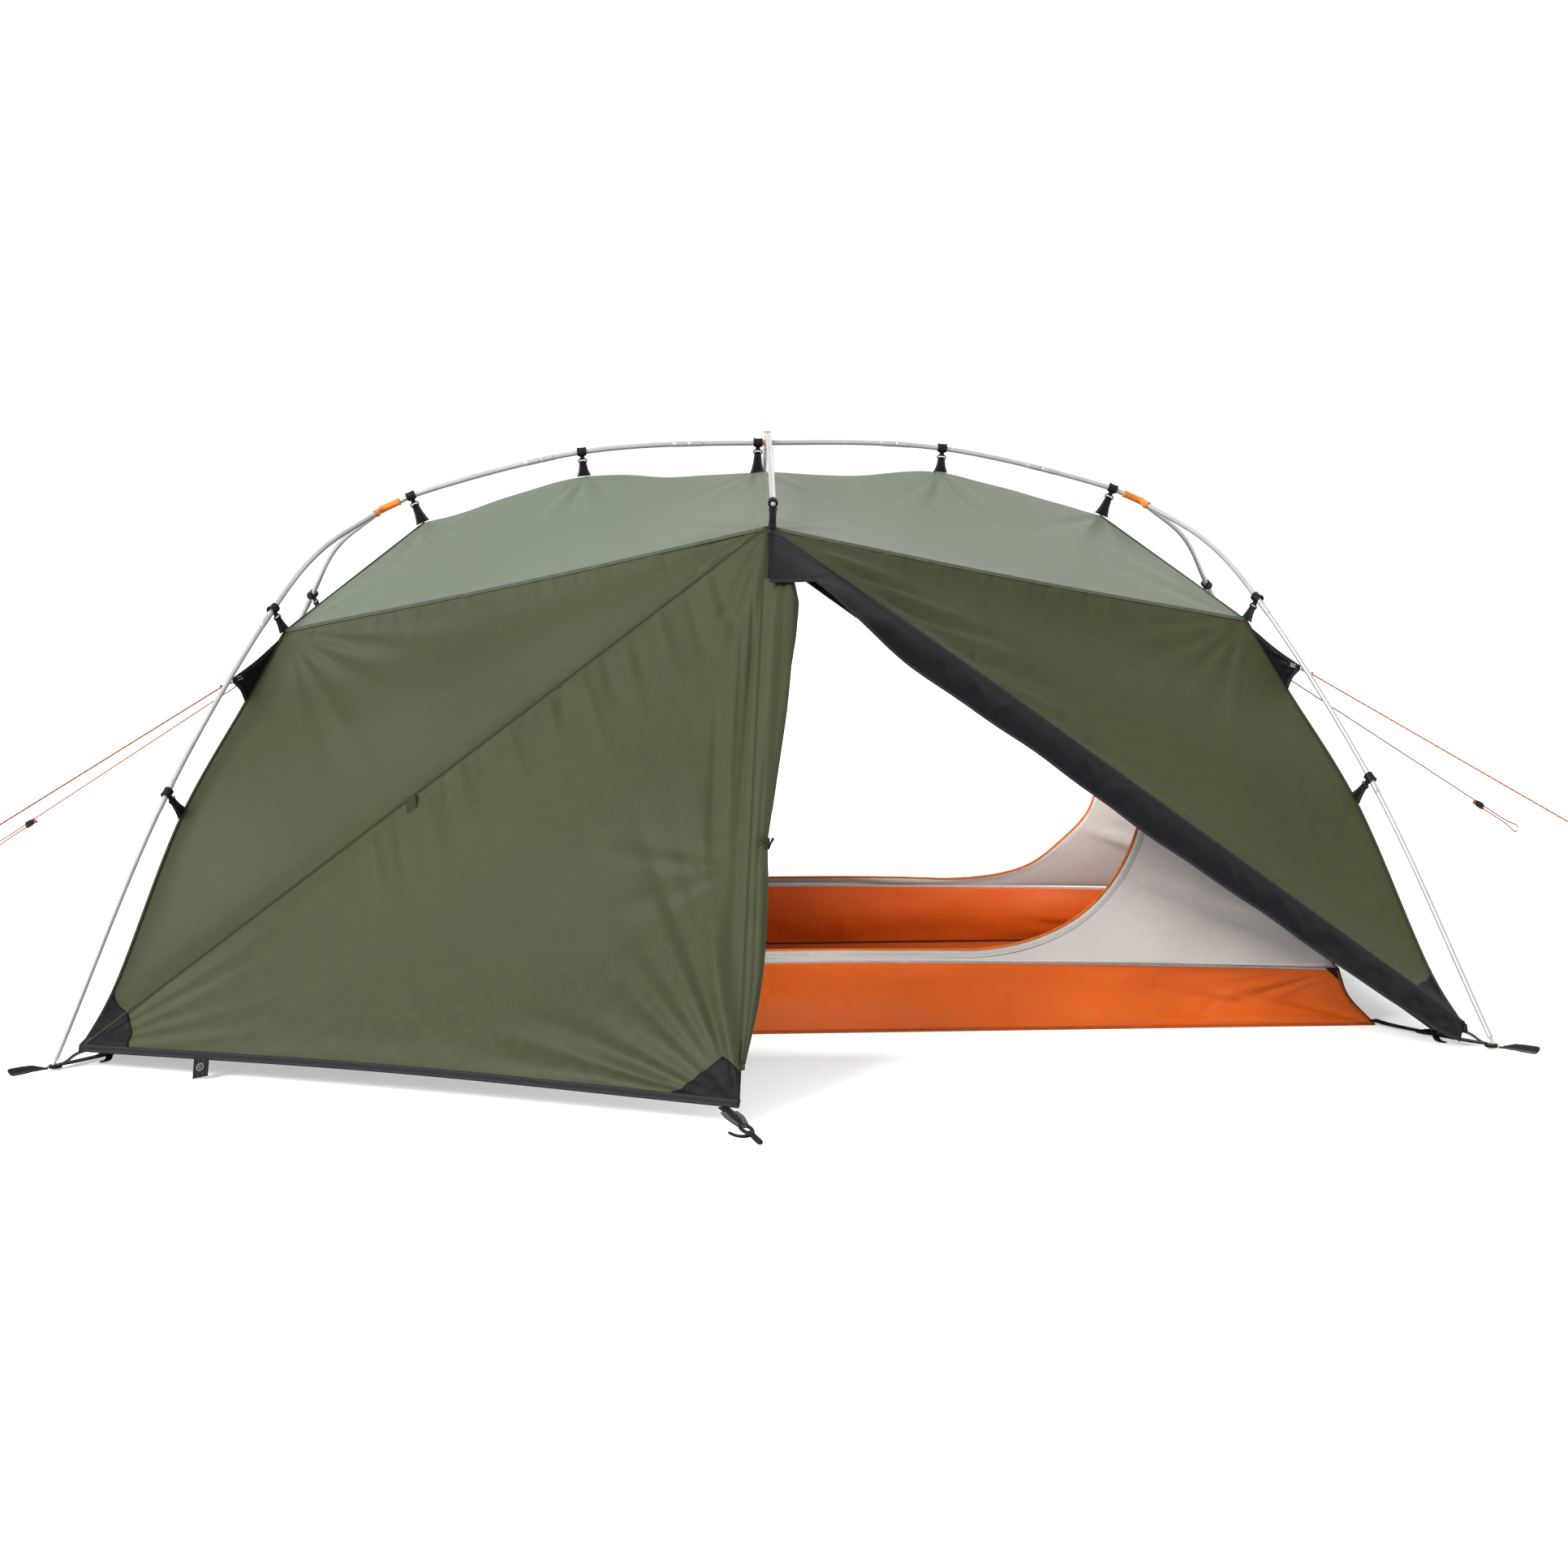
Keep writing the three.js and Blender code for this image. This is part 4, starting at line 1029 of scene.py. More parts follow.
def crease(grid, start, end, width, height):
    """How far each point of the grid rises for one soft fold that widens from start and dies out at end."""
    down, along = grid[1:, :-1] - grid[:-1, :-1], grid[:-1, 1:] - grid[:-1, :-1]
    facing = unit(np.cross(down, along).sum(axis=(0, 1)))
    line = end - start
    line = line - facing * (line @ facing)
    t = (grid - start) @ line / (line @ line)
    off = np.abs((grid - start) @ unit(np.cross(facing, line)))
    share = np.clip(t, 0, 1)
    rise = np.sin(np.pi * share**0.6)
    spread = FOLD_SPREAD * width * (0.3 + 0.7 * share)
    return FOLD_DEPTH * height * rise * np.exp(-((off / spread) ** 2))


def puckers(grid, start, end, lean, count, reach, width, height, seed):
    """Short wrinkles that stand across a seam."""
    random = np.random.default_rng(seed)
    total = np.zeros(grid.shape[:2])
    for k in range(count):
        root = lerp(start, end, (k + random.uniform(0.1, 0.9)) / count)
        tip = root + lean * reach * random.uniform(0.5, 1.4) + (end - start) * random.uniform(-0.02, 0.02)
        size = height * random.uniform(0.4, 1.2) * (1 if k % 2 else -1)
        total += crease(grid, root, tip, width * random.uniform(0.7, 1.4), size)
    return total


def fan_folds(grid, anchor, first, last, count, width, height, seed):
    """Folds that spread from an anchor towards points between first and last."""
    random = np.random.default_rng(seed)
    total = np.zeros(grid.shape[:2])
    for k in range(count):
        share = (k + 0.5 + random.uniform(-0.3, 0.3)) / count
        end = lerp(anchor, lerp(first, last, share), random.uniform(0.6, 1.1))
        sign = 1 if k % 2 else -1
        total += crease(grid, anchor, end, width * random.uniform(0.7, 1.3),
                        sign * height * random.uniform(0.5, 1))
    return total


def ripples(grid, seed, height, longest=420, shortest=110):
    """Faint swells of the tensioned cloth."""
    random = np.random.default_rng(seed)
    total = np.zeros(grid.shape[:2])
    for _ in range(9):
        length = random.uniform(shortest, longest)
        direction = unit(random.normal(size=3))
        total += np.sin(grid @ direction * 2 * np.pi / length + random.uniform(0, 6.28)) * length / longest
    return total * height / 2


def fade_edges(shape, rows=6, columns=6):
    """1 inside a grid and 0 on its border, so that neighbouring panels still meet."""
    i = np.minimum(np.arange(shape[0]), np.arange(shape[0])[::-1]) / rows
    j = np.minimum(np.arange(shape[1]), np.arange(shape[1])[::-1]) / columns
    share = np.clip(i, 0, 1)[:, None] * np.clip(j, 0, 1)[None]
    return share * share * (3 - 2 * share)


def raised(grid, normals, rise, margin=2):
    """The grid with its folds, which die out over margin rows at its border."""
    return grid + normals * (rise * fade_edges(grid.shape, margin, margin))[..., None]


def seam(parts, path, facing, material, width=9, thick=1.3, lift=0.5):
    """Adds a band of tape to parts, lifted a little off the cloth."""
    path = even(path, 8.0)
    facing = np.broadcast_to(facing, path.shape)
    parts.append(sweep(path + facing * lift, strap_profile(width, thick), facing, material))


def patch_on(grid, normals, corners, count=16, lift=BACKING):
    """A black patch that lies on a panel, between four places given as (row share, column share)."""
    a, b, c, d = (np.array(k, float) for k in corners)
    s, t = steps(count)[:, None, None], steps(count)[None, :, None]
    place = (1 - s) * ((1 - t) * a + t * b) + s * ((1 - t) * d + t * c)
    i = place[..., 0] * (grid.shape[0] - 1)
    j = place[..., 1] * (grid.shape[1] - 1)
    i0 = np.minimum(i.astype(int), grid.shape[0] - 2)
    j0 = np.minimum(j.astype(int), grid.shape[1] - 2)
    fi, fj = (i - i0)[..., None], (j - j0)[..., None]

    def sample(values):
        low = (1 - fj) * values[i0, j0] + fj * values[i0, j0 + 1]
        high = (1 - fj) * values[i0 + 1, j0] + fj * values[i0 + 1, j0 + 1]
        return (1 - fi) * low + fi * high

    return cloth(sample(grid) + unit(sample(normals)) * lift, black_cloth)


def grid_area(grid):
    """Area of a grid in square metres."""
    a = grid[1:, 1:] - grid[:-1, :-1]
    b = grid[1:, :-1] - grid[:-1, 1:]
    return float(np.linalg.norm(np.cross(a, b), axis=2).sum() / 2) * MM * MM


def add_roof():
    halves = []
    for sy in (-1, 1):
        seam_line = chain(flipped(roof_seam(-1, sy)), roof_seam(1, sy))
        top_line = chain(flipped(ridge_line(-1)), ridge_line(1))
        ends = [edge(point_on(seam_line, k), point_on(top_line, k)) for k in (0.0, 1.0)]
        halves.append(coons(seam_line, top_line, *ends, 60, 240))
    grid = np.concatenate([halves[0], halves[1][::-1][1:]])
    normals = grid_normals(grid, UP)
    rise = ripples(grid, 3, 2.2) * fade_edges(grid.shape)
    for x, _, z in landings:
        anchor = P(x, 0, z)
        for sy in (-1, 1):
            rise += fan_folds(grid, anchor, P(x - 190, sy * 190, z - 40), P(x + 190, sy * 190, z - 40), 6, 22,
                              4.2, int(abs(x)) + sy + 2)
    for sy in (-1, 1):
        apex = mirrored(FLY_APEX, 1, sy)
        rise += fan_folds(grid, apex, apex + P(-240, -sy * 200, 60), apex + P(240, -sy * 200, 60), 6, 26, 4,
                          31 + sy)
        for sx in (-1, 1):
            corner = mirrored(FLY_CORNER, sx, sy)
            inner = mirrored(P(560, 210, 880), sx, sy)
            other = mirrored(P(700, 30, 880), sx, sy)
            rise += fan_folds(grid, corner, inner, other, 4, 24, 4, 47 + sx + 3 * sy)
    grid = raised(grid, normals, rise)
    cloth_piece = piece("roof_cloth", cloth(grid, fly_sage), replaces=["fly_roof"],
                        solid=CLOTH_THICK)
    trims = []
    for sy in (-1, 1):
        line = chain(flipped(roof_seam(-1, sy)), roof_seam(1, sy))(steps(240))
        seam(trims, line, unit(P(0, sy * 0.75, 0.66)), sage_seam, 8, 1.4, 0.9)
    for sx in (-1, 1):
        for sy in (-1, 1):
            rim = edge(mirrored(FLY_CORNER, sx, sy), mirrored(FLY_RIDGE_END, sx, 1))(steps(60))
            seam(trims, rim, unit(P(sx * 0.6, sy * 0.1, 0.8)), sage_seam, 8, 1.4, 0.6)
    seams = piece("roof_seams", trims)


add_roof()


def add_end(name, sx):
    """The triangular end of the fly, with its two guy gussets."""
    outwards = P(sx, 0, 0.3)
    top = chain(edge(mirrored(FLY_CORNER, sx, -1), mirrored(FLY_RIDGE_END, sx, 1)),
                edge(mirrored(FLY_RIDGE_END, sx, 1), mirrored(FLY_CORNER, sx, 1)))
    hem = edge(mirrored(FLY_HEM_CORNER, sx, -1), mirrored(FLY_END_MIDDLE, sx, 1),
               mirrored(FLY_HEM_CORNER, sx, 1))
    grid = coons(top, hem, corner_edge(sx, -1), corner_edge(sx, 1), 90, 120)
    normals = grid_normals(grid, outwards)
    rise = ripples(grid, 11 + sx, 4, 520, 160) * fade_edges(grid.shape, 14, 14)
    peak = mirrored(FLY_RIDGE_END, sx, 1)
    rise += fan_folds(grid, peak, peak + P(sx * 220, -170, -420), peak + P(sx * 220, 170, -420), 7, 30, 5,
                      61 + sx)
    for sy in (-1, 1):
        corner = mirrored(FLY_CORNER, sx, sy)
        rise += fan_folds(grid, corner, corner + P(sx * 30, -sy * 260, 60),
                          corner + P(sx * 160, -sy * 160, -320), 6, 24, 4.5, 71 + sx + 3 * sy)
        foot = mirrored(FLY_HEM_CORNER, sx, sy)
        rise += fan_folds(grid, foot, foot + P(0, -sy * 330, 60), foot + P(-sx * 120, -sy * 200, 330), 6,
                          26, 5, 81 + sx + 3 * sy)
    grid = raised(grid, normals, rise)
    panel = piece(f"end_cloth_{name}", cloth(grid, fly_olive), replaces=[f"fly_end_{name}"],
                  solid=CLOTH_THICK)
    trims = []
    seam(trims, hem(steps(160)) + P(0, 0, 3), unit(P(sx, 0, 0.1)), black_binding, 14, 2.6, 0.2)
    for sy in (-1, 1):
        facing = unit(P(sx * 0.75, sy * 0.55, 0.3))
        seam(trims, corner_edge(sx, sy)(steps(200)), facing, olive_seam, 9, 1.6, 0.3)
    extras = [piece(f"end_seams_{name}", trims)]
    patches = [patch_on(grid, normals, [(0.9, 0), (1, 0), (1, 0.085), (0.94, 0.05)], 12, 1.3),
               patch_on(grid, normals, [(0.9, 1), (1, 1), (1, 0.915), (0.94, 0.95)], 12, 1.3)]
    extras.append(piece(f"end_patches_{name}", patches, solid=LINING_THICK))
    for sy in (-1, 1):
        extras.append(add_gusset(sx, sy, name))
    extras.append(end_tie(sx))
    width = np.linalg.norm(point_on(hem, 0.0) - point_on(hem, 1.0)) * MM


def end_tie(sx):
    """A short webbing loop at the middle of the end's hem, for a peg."""
    top = mirrored(FLY_END_MIDDLE, sx, 1) + P(sx * 2, 0, -2)
    run = np.array([top + P(sx * d * 0.55, 0, -d * 0.8) for d in np.linspace(0, 46, 12)])
    band, facing = strap_profile(9, 1.4), unit(P(sx * 0.8, 0, 0.55))
    parts = [sweep(run + P(0, y, 0), band, facing, webbing) for y in (-6, 6)]
    low = run[-1]
    bend = np.array([low + P(0, -6 * math.cos(a), 0) + unit(P(sx * 0.55, 0, -0.8)) * 6 * math.sin(a)
                     for a in np.linspace(0, math.pi, 10)])
    parts.append(sweep(bend, band, facing, webbing))
    return piece(f"end_peg_loop_{'right' if sx > 0 else 'left'}", parts)


def add_gusset(sx, sy, side_name):
    """The black triangle between the corner seam and the guy line, with its webbing tab."""
    base = corner_edge(sx, sy)
    tip = mirrored(GUY_TIP, sx, sy)
    root = lambda ts: base(0.04 + 0.22 * ts)
    high, low = point_on(base, 0.04), point_on(base, 0.26)
    near_tip = edge(lerp(tip, high, 0.04), lerp(tip, low, 0.04))
    sides = [edge(high, lerp(high, tip, 0.5) + P(0, 0, -3), lerp(tip, high, 0.04)),
             edge(low, lerp(low, tip, 0.5) + P(-sx * 3, 0, 3), lerp(tip, low, 0.04))]
    grid = coons(root, near_tip, *sides, 40, 36)
    outwards = unit(np.cross(high - tip, low - tip))
    outwards = outwards if outwards[1] * sy > 0 else -outwards
    normals = grid_normals(grid, outwards)
    rise = fan_folds(grid, tip, high, low, 7, 9, 5.5, 91 + sx + 3 * sy)
    grid = raised(grid, normals, rise, 3)
    parts = [cloth(grid, black_cloth)]
    trims = []
    for side in sides:
        seam(trims, side(steps(40)), outwards, black_tape, 6.5, 2.0, 0)
    inwards = unit(lerp(high, low, 0.45) - tip)
    across = unit(np.cross(outwards, inwards))
    run = np.array([tip + inwards * d for d in np.linspace(1, 27, 8)])
    wide = widths(np.interp(np.arange(8), [0, 3, 7], [0.45, 0.9, 1.1]))
    tab = [sweep(run + outwards * k, strap_profile(13, 1.4), outwards, webbing, wide) for k in (-1.6, 1.6)]
    for k in (-1, 1):
        tab += stitch_rows(tip + inwards * 15 + outwards * k * 2.5, inwards, across * k, 9, 5, 5,
                           white_thread, 1.6)
    name = f"{'front' if sy < 0 else 'back'}_{side_name}"
    return piece(f"guy_gusset_{name}", parts + trims + tab)


add_end("left", -1)
add_end("right", 1)


# ---------- long sides and doors ----------
def side_panel(sx, sy, outwards):
    """The plain panel between the roof seam, the corner seam and the diagonal from the apex to the hem."""
    apex = mirrored(FLY_APEX, 1, sy)
    hem_corner = mirrored(FLY_HEM_CORNER, sx, sy)
    head = edge(apex, apex + P(0.01 * sx, 0, -0.01))
    grid = coons(roof_seam(sx, sy), edge(apex, hem_corner), head, corner_edge(sx, sy), 76, 210)
    normals = grid_normals(grid, outwards)
    return grid, normals


def door_middle(sy):
    """The closed half's free edge, from the top of the door to its stake."""
    apex, stake = mirrored(FLY_APEX, 1, sy), mirrored(FLY_STAKE, 1, sy)
    return edge(apex, lerp(apex, stake, 0.5) + P(0, sy * 4, 2), stake)


def flap_edges(sy):
    """The storm flap's upper edge, and the directions along it, down across it and out of it."""
    apex = mirrored(FLY_APEX, 1, sy) + P(6, 0, -20)
    hem = mirrored(FLY_HEM_CORNER, 1, sy) + P(-26, sy * 2, 10)
    stake = mirrored(FLY_STAKE, 1, sy)
    along = unit(hem - apex)
    face = unit(np.cross(stake - apex, along))
    fall = unit(np.cross(along, face))
    fall = -fall if fall[2] > 0 else fall
    face = -face if face[1] * sy < 0 else face
    upper = edge(apex + along * 16 + fall * 4, hem + fall * 6)
    return upper, along, fall, face


def add_side_left(fb, sy):
    """The closed half: one sheet from the corner seam over the diagonal to the middle of the door."""
    outwards = unit(P(-0.25, sy, 0.45))
    side, _ = side_panel(-1, sy, outwards)
    apex = mirrored(FLY_APEX, 1, sy)
    stake = mirrored(FLY_STAKE, 1, sy)
    hem_corner = mirrored(FLY_HEM_CORNER, -1, sy)
    middle = door_middle(sy)
    hem_line = edge(hem_corner, lerp(hem_corner, stake, 0.5) + P(0, -sy * 14, 6), stake)
    head = edge(apex, apex + P(0.01, 0, -0.01))
    door = coons(edge(apex, hem_corner), middle, head, hem_line, 158, 210)
    grids = []
    for index, grid in enumerate((side, door)):
        normals = grid_normals(grid, outwards)
        rise = ripples(grid, 5 + index + sy, 5 if index else 3.5, 520, 150) * fade_edges(grid.shape, 12, 12)
        corner = mirrored(FLY_CORNER, -1, sy)
        if index == 0:
            rise += fan_folds(grid, corner, corner + P(420, sy * 90, 20), corner + P(120, sy * 190, -420), 8,
                              26, 4, 101 + sy)
            rise += fan_folds(grid, apex, apex + P(-420, sy * 60, -120), apex + P(-520, sy * 200, -330), 5,
                              24, 3.5, 103 + sy)
            rise += puckers(grid, apex, hem_corner, P(0.35, 0, 0.94), 34, 70, 12, 2.4, 115 + sy)
            rise += puckers(grid, apex, corner, P(0.1, sy * 0.3, -0.94), 22, 60, 12, 2.0, 117 + sy)
        else:
            rise += fan_folds(grid, stake, stake + P(-620, -sy * 90, 180), stake + P(-60, -sy * 420, 420),
                              12, 32, 11, 105 + sy)
            rise += fan_folds(grid, apex, apex + P(-300, sy * 330, -330), apex + P(-50, sy * 500, -500), 5,
                              24, 4.5, 107 + sy)
            rise += fan_folds(grid, hem_corner, hem_corner + P(420, sy * 160, 20),
                              hem_corner + P(380, -sy * 60, 260), 7, 24, 5, 109 + sy)
            rise += puckers(grid, lerp(apex, hem_corner, 0.06), lerp(apex, hem_corner, 0.62),
                            P(0.3, sy * 0.5, -0.8), 19, 210, 21, 4.2, 119 + sy)
            rise += puckers(grid, hem_corner, stake, P(-0.1, -sy * 0.35, 0.93), 26, 80, 13, 2.4, 121 + sy)
            rise += fan_folds(grid, stake, stake + P(-330, -sy * 300, 420), stake + P(-120, -sy * 560, 700),
                              6, 40, 10, 123 + sy)
            waist = lerp(apex, stake, 0.62)
            rise += fan_folds(grid, waist + P(-16, 0, 0), waist + P(-330, -sy * 130, 200),
                              waist + P(-330, sy * 90, -160), 5, 40, 3.4, 111 + sy)
            # (share of the edge, distance in from it) of both ends, width and height
            for start, end, width, height in [((0.1, 22), (0.92, 28), 13, -5.5),
                                              ((0.16, 50), (0.86, 44), 15, 5),
                                              ((0.3, 84), (0.8, 70), 18, -4)]:
                a = lerp(apex, stake, start[0]) + P(-start[1], 0, 0)
                b = lerp(apex, stake, end[0]) + P(-end[1], 0, 0)
                rise += crease(grid, a, b, width, height)
        grids.append((raised(grid, normals, rise), normals))
    whole = np.concatenate([grids[0][0], grids[1][0][1:]])
    panel = piece(f"side_cloth_{fb}_left", cloth(whole, fly_olive), replaces=[f"fly_{fb}_left"],
                  solid=CLOTH_THICK)
    trims = []
    seam(trims, edge(apex, hem_corner)(steps(260)), outwards, olive_seam, 9, 1.5, 0.7)
    seam(trims, middle(0.945 * steps(260)) - outwards * 0.6, outwards, olive_seam, 11, 2.2, 0.2)
    seams = piece(f"side_seams_{fb}_left", trims)
    hem_parts = []
    seam(hem_parts, hem_line(steps(200)) + P(0, 0, 4), outwards, black_binding, 14, 2.8, 0.4)
    binding = piece(f"hem_binding_{fb}", hem_parts)
    patches = [
        patch_on(*grids[0], [(0.73, 1), (1, 0.932), (1, 0.975), (0.94, 1)]),
        patch_on(*grids[1], [(0, 0.932), (0.045, 0.963), (0.078, 1), (0, 1)]),
        patch_on(*grids[1], [(0.897, 1), (0.972, 0.927), (1, 0.95), (1, 1)], 22, 1.8),
    ]
    patch = piece(f"corner_patches_{fb}_left", patches, solid=LINING_THICK)
    tabs = add_tabs(fb, sy, apex, hem_corner, hem_line, outwards)


def add_tabs(fb, sy, apex, hem_corner, hem_line, outwards):
    """A cloth loop on the diagonal seam, and a webbing tab with an eyelet on the hem."""
    at = lerp(apex, hem_corner, 0.527) + outwards * 2
    along = unit(hem_corner - apex)
    down = P(0.28, 0, -1)
    down = unit(down - outwards * (down @ outwards)) + outwards * 0.14
    loop = np.array([at + down * (25 - 25 * math.cos(bow)) + outwards * (3.5 + 4.2 * math.sin(bow))
                     for bow in np.linspace(0, 2 * np.pi, 30)])
    facing = unit(np.cross(np.gradient(loop, axis=0), along))
    ring = piece(f"cloth_loop_{fb}", [sweep(loop, strap_profile(20, 1.6), facing, olive_seam)])
    spot = point_on(hem_line, 0.2)
    level = unit(point_on(hem_line, 0.25) - point_on(hem_line, 0.15))
    fall = unit(P(0, sy * 0.6, -0.8))
    top = spot + P(0, 0, 4)
    depth = 40
    run = np.array([top + fall * d for d in np.linspace(-2, depth, 9)])
    facing = unit(np.cross(level, fall))
    facing = facing if facing[1] * sy > 0 else -facing
    parts = [sweep(run, strap_profile(29, 2.2), facing, webbing)]
    eye = top + fall * depth * 0.56 + facing * 1.4
    ring_path = [(0, 0.8), (0, 7.4), (0.8, 8.2), (1.6, 7.2), (1.4, 5.2), (0, 4.6)]
    parts.append(lathe(eye, facing, ring_path, brass, 28))
    tab = piece(f"hem_tab_{fb}", parts)
    return [ring, tab]


def add_side_right(fb, sy):
    """The long triangle between the corner seam and the open half of the door."""
    outwards = unit(P(0.25, sy, 0.45))
    grid, normals = side_panel(1, sy, outwards)
    apex = mirrored(FLY_APEX, 1, sy)
    corner = mirrored(FLY_CORNER, 1, sy)
    hem_corner = mirrored(FLY_HEM_CORNER, 1, sy)
    rise = ripples(grid, 15 + sy, 4, 520, 150) * fade_edges(grid.shape, 12, 12)
    rise += fan_folds(grid, corner, corner + P(-420, sy * 90, 20), corner + P(-120, sy * 190, -420), 8, 26, 4,
                      121 + sy)
    folds = [(0.035, 210, 7), (0.06, 250, -8), (0.085, 300, 9), (0.115, 330, -8), (0.15, 330, 6),
             (0.2, 300, -6), (0.27, 260, 5), (0.36, 260, -5), (0.47, 240, 5), (0.6, 220, -4)]
    for share, reach, height in folds:
        start = lerp(apex, hem_corner, share)
        lean = P(reach, sy * 10, -reach * (0.16 + share))
        rise += crease(grid, start, start + lean, 17, height)
    rise += puckers(grid, apex, corner, P(-0.1, sy * 0.3, -0.94), 22, 60, 12, 2.0, 125 + sy)
    rise += puckers(grid, lerp(apex, hem_corner, 0.3), hem_corner, P(0.4, 0, 0.9), 26, 90, 13, 3.0, 127 + sy)
    run = unit(hem_corner - apex)
    off = np.linalg.norm(np.cross(grid - apex, run), axis=-1)
    calm = np.clip((off - FLAP_OVERLAP) / 30, 0, 1)
    rise = rise * calm * calm * (3 - 2 * calm)
    grid = raised(grid, normals, rise)
    panel = piece(f"side_cloth_{fb}_right", cloth(grid, fly_olive), replaces=[f"fly_{fb}_right"],
                  solid=CLOTH_THICK)
    patch = patch_on(grid, normals, [(0.735, 1), (0.87, 0.957), (1, 0.922), (1, 1)])
    patch = piece(f"corner_patches_{fb}_right", patch, solid=LINING_THICK)
    trims = []
    seam(trims, edge(apex, hem_corner)(steps(260)), outwards, olive_seam, 9, 1.8, 0.4)
    seams = piece(f"side_seams_{fb}_right", trims)
    round(grid_area(grid) * 0.99, 3)


def add_flap(fb, sy):
    """The black storm flap, drawn in along its two rows of stitches, over the zip of the open half."""
    upper, _, fall, face = flap_edges(sy)
    apex, hem_corner = mirrored(FLY_APEX, 1, sy), mirrored(FLY_HEM_CORNER, 1, sy)
    down = unit(mirrored(FLY_STAKE, 1, sy) - apex)
    panel, panel_normals = side_panel(1, sy, unit(P(0.25, sy, 0.45)))
    ts = steps(301)
    columns = steps(panel.shape[1])
    inwards = unit(panel[-5] - panel[-1])
    inwards = np.stack([np.interp(ts, columns, inwards[:, k]) for k in range(3)], axis=1)
    lift = np.stack([np.interp(ts, columns, panel_normals[-3][:, k]) for k in range(3)], axis=1)
    line = lerp(apex, hem_corner, ts[:, None])
    over = np.interp(ts, [0, 0.1, 0.2, 0.35, 0.95, 1], [0, 0, 8, FLAP_OVERLAP, FLAP_OVERLAP, 12])[:, None]
    near = np.clip(1 - ts / 0.1, 0, 1)[:, None]
    hang = np.interp(ts, [0.09, 0.14, 0.2, 0.35, 0.65, 0.8, 0.9, 0.97, 1],
                     [71, 73, 75, 69, 66, 57, 51, 45, 32])[:, None]
    top = line + inwards * over + (P(2, 0, 0) + down * 8) * near + lift * 3.6
    low = line + fall * hang + face * 2
    corner = apex + P(-1, 0, 0) + down * 156
    knee = 0.09
    knee_point = low[int(knee * 300)]
    low = np.where(ts[:, None] < knee, lerp(corner, knee_point, np.clip(ts / knee, 0, 1)[:, None]), low)
    over_roll = np.clip((0.24 - ts) / 0.14, 0, 1)[:, None]
    low = low + face * 29 * over_roll * over_roll * (3 - 2 * over_roll)
    grid = top + steps(19)[:, None, None] * (low - top)
    normals = grid_normals(grid, face)
    t = steps(301)[None, :]
    s = steps(19)[:, None]
    length = np.linalg.norm(grid[0, -1] - grid[0, 0])
    random = np.random.default_rng(7 + sy)
    gathers = np.zeros(grid.shape[:2])
    inside = np.sin(np.pi * np.clip(s * 1.1 - 0.05, 0, 1)) ** 0.8
    for _ in range(64):
        middle, width = random.uniform(0.02, 0.99), random.uniform(7, 20)
        lean, height = random.uniform(-55, 55), random.uniform(-3.4, 4.4)
        far = (t - middle) * length + lean * (s - 0.5)
        gathers += height * np.exp(-((far / width) ** 2)) * inside
    gathers = np.where(gathers < 0, gathers * np.clip(s * 4 - 1, 0, 1), gathers)
    calm = np.clip(t * 9, 0, 1)
    belly = 5.5 * np.sin(np.pi * s) * np.sin(np.pi * t) ** 0.4
    grid = grid + normals * (gathers * calm + belly)[..., None]
    wave = 2.2 * np.sin(t * 23 + 1.2) + 1.3 * np.sin(t * 57)
    grid = grid + fall * (s**3 * wave * np.sin(np.pi * t) ** 0.5)[..., None]
    flap = piece(f"storm_flap_cloth_{fb}", cloth(grid, black_cloth), replaces=[f"storm_flap_{fb}"],
                 solid=FLAP_THICK)
    trims = []
    seam(trims, grid[0] + face * 0.5, face, black_tape, 6.5, 1.6, 0.3)
    seam(trims, grid[-1] + face * 0.2, face, black_tape, 6.5, 2.0, 0)
    seam(trims, grid[3] + face * 0.4, face, black_tape, 3, 0.9, 0)
    edging = piece(f"storm_flap_edging_{fb}", trims)
    behind = upper(steps(260)) + fall * 16 - face * 5.5
    zip_parts = [sweep(even(behind, 8.0)[3:-3], strap_profile(24, 1.2), face, zip_tape)]
    piece(f"door_zip_{fb}", zip_parts)


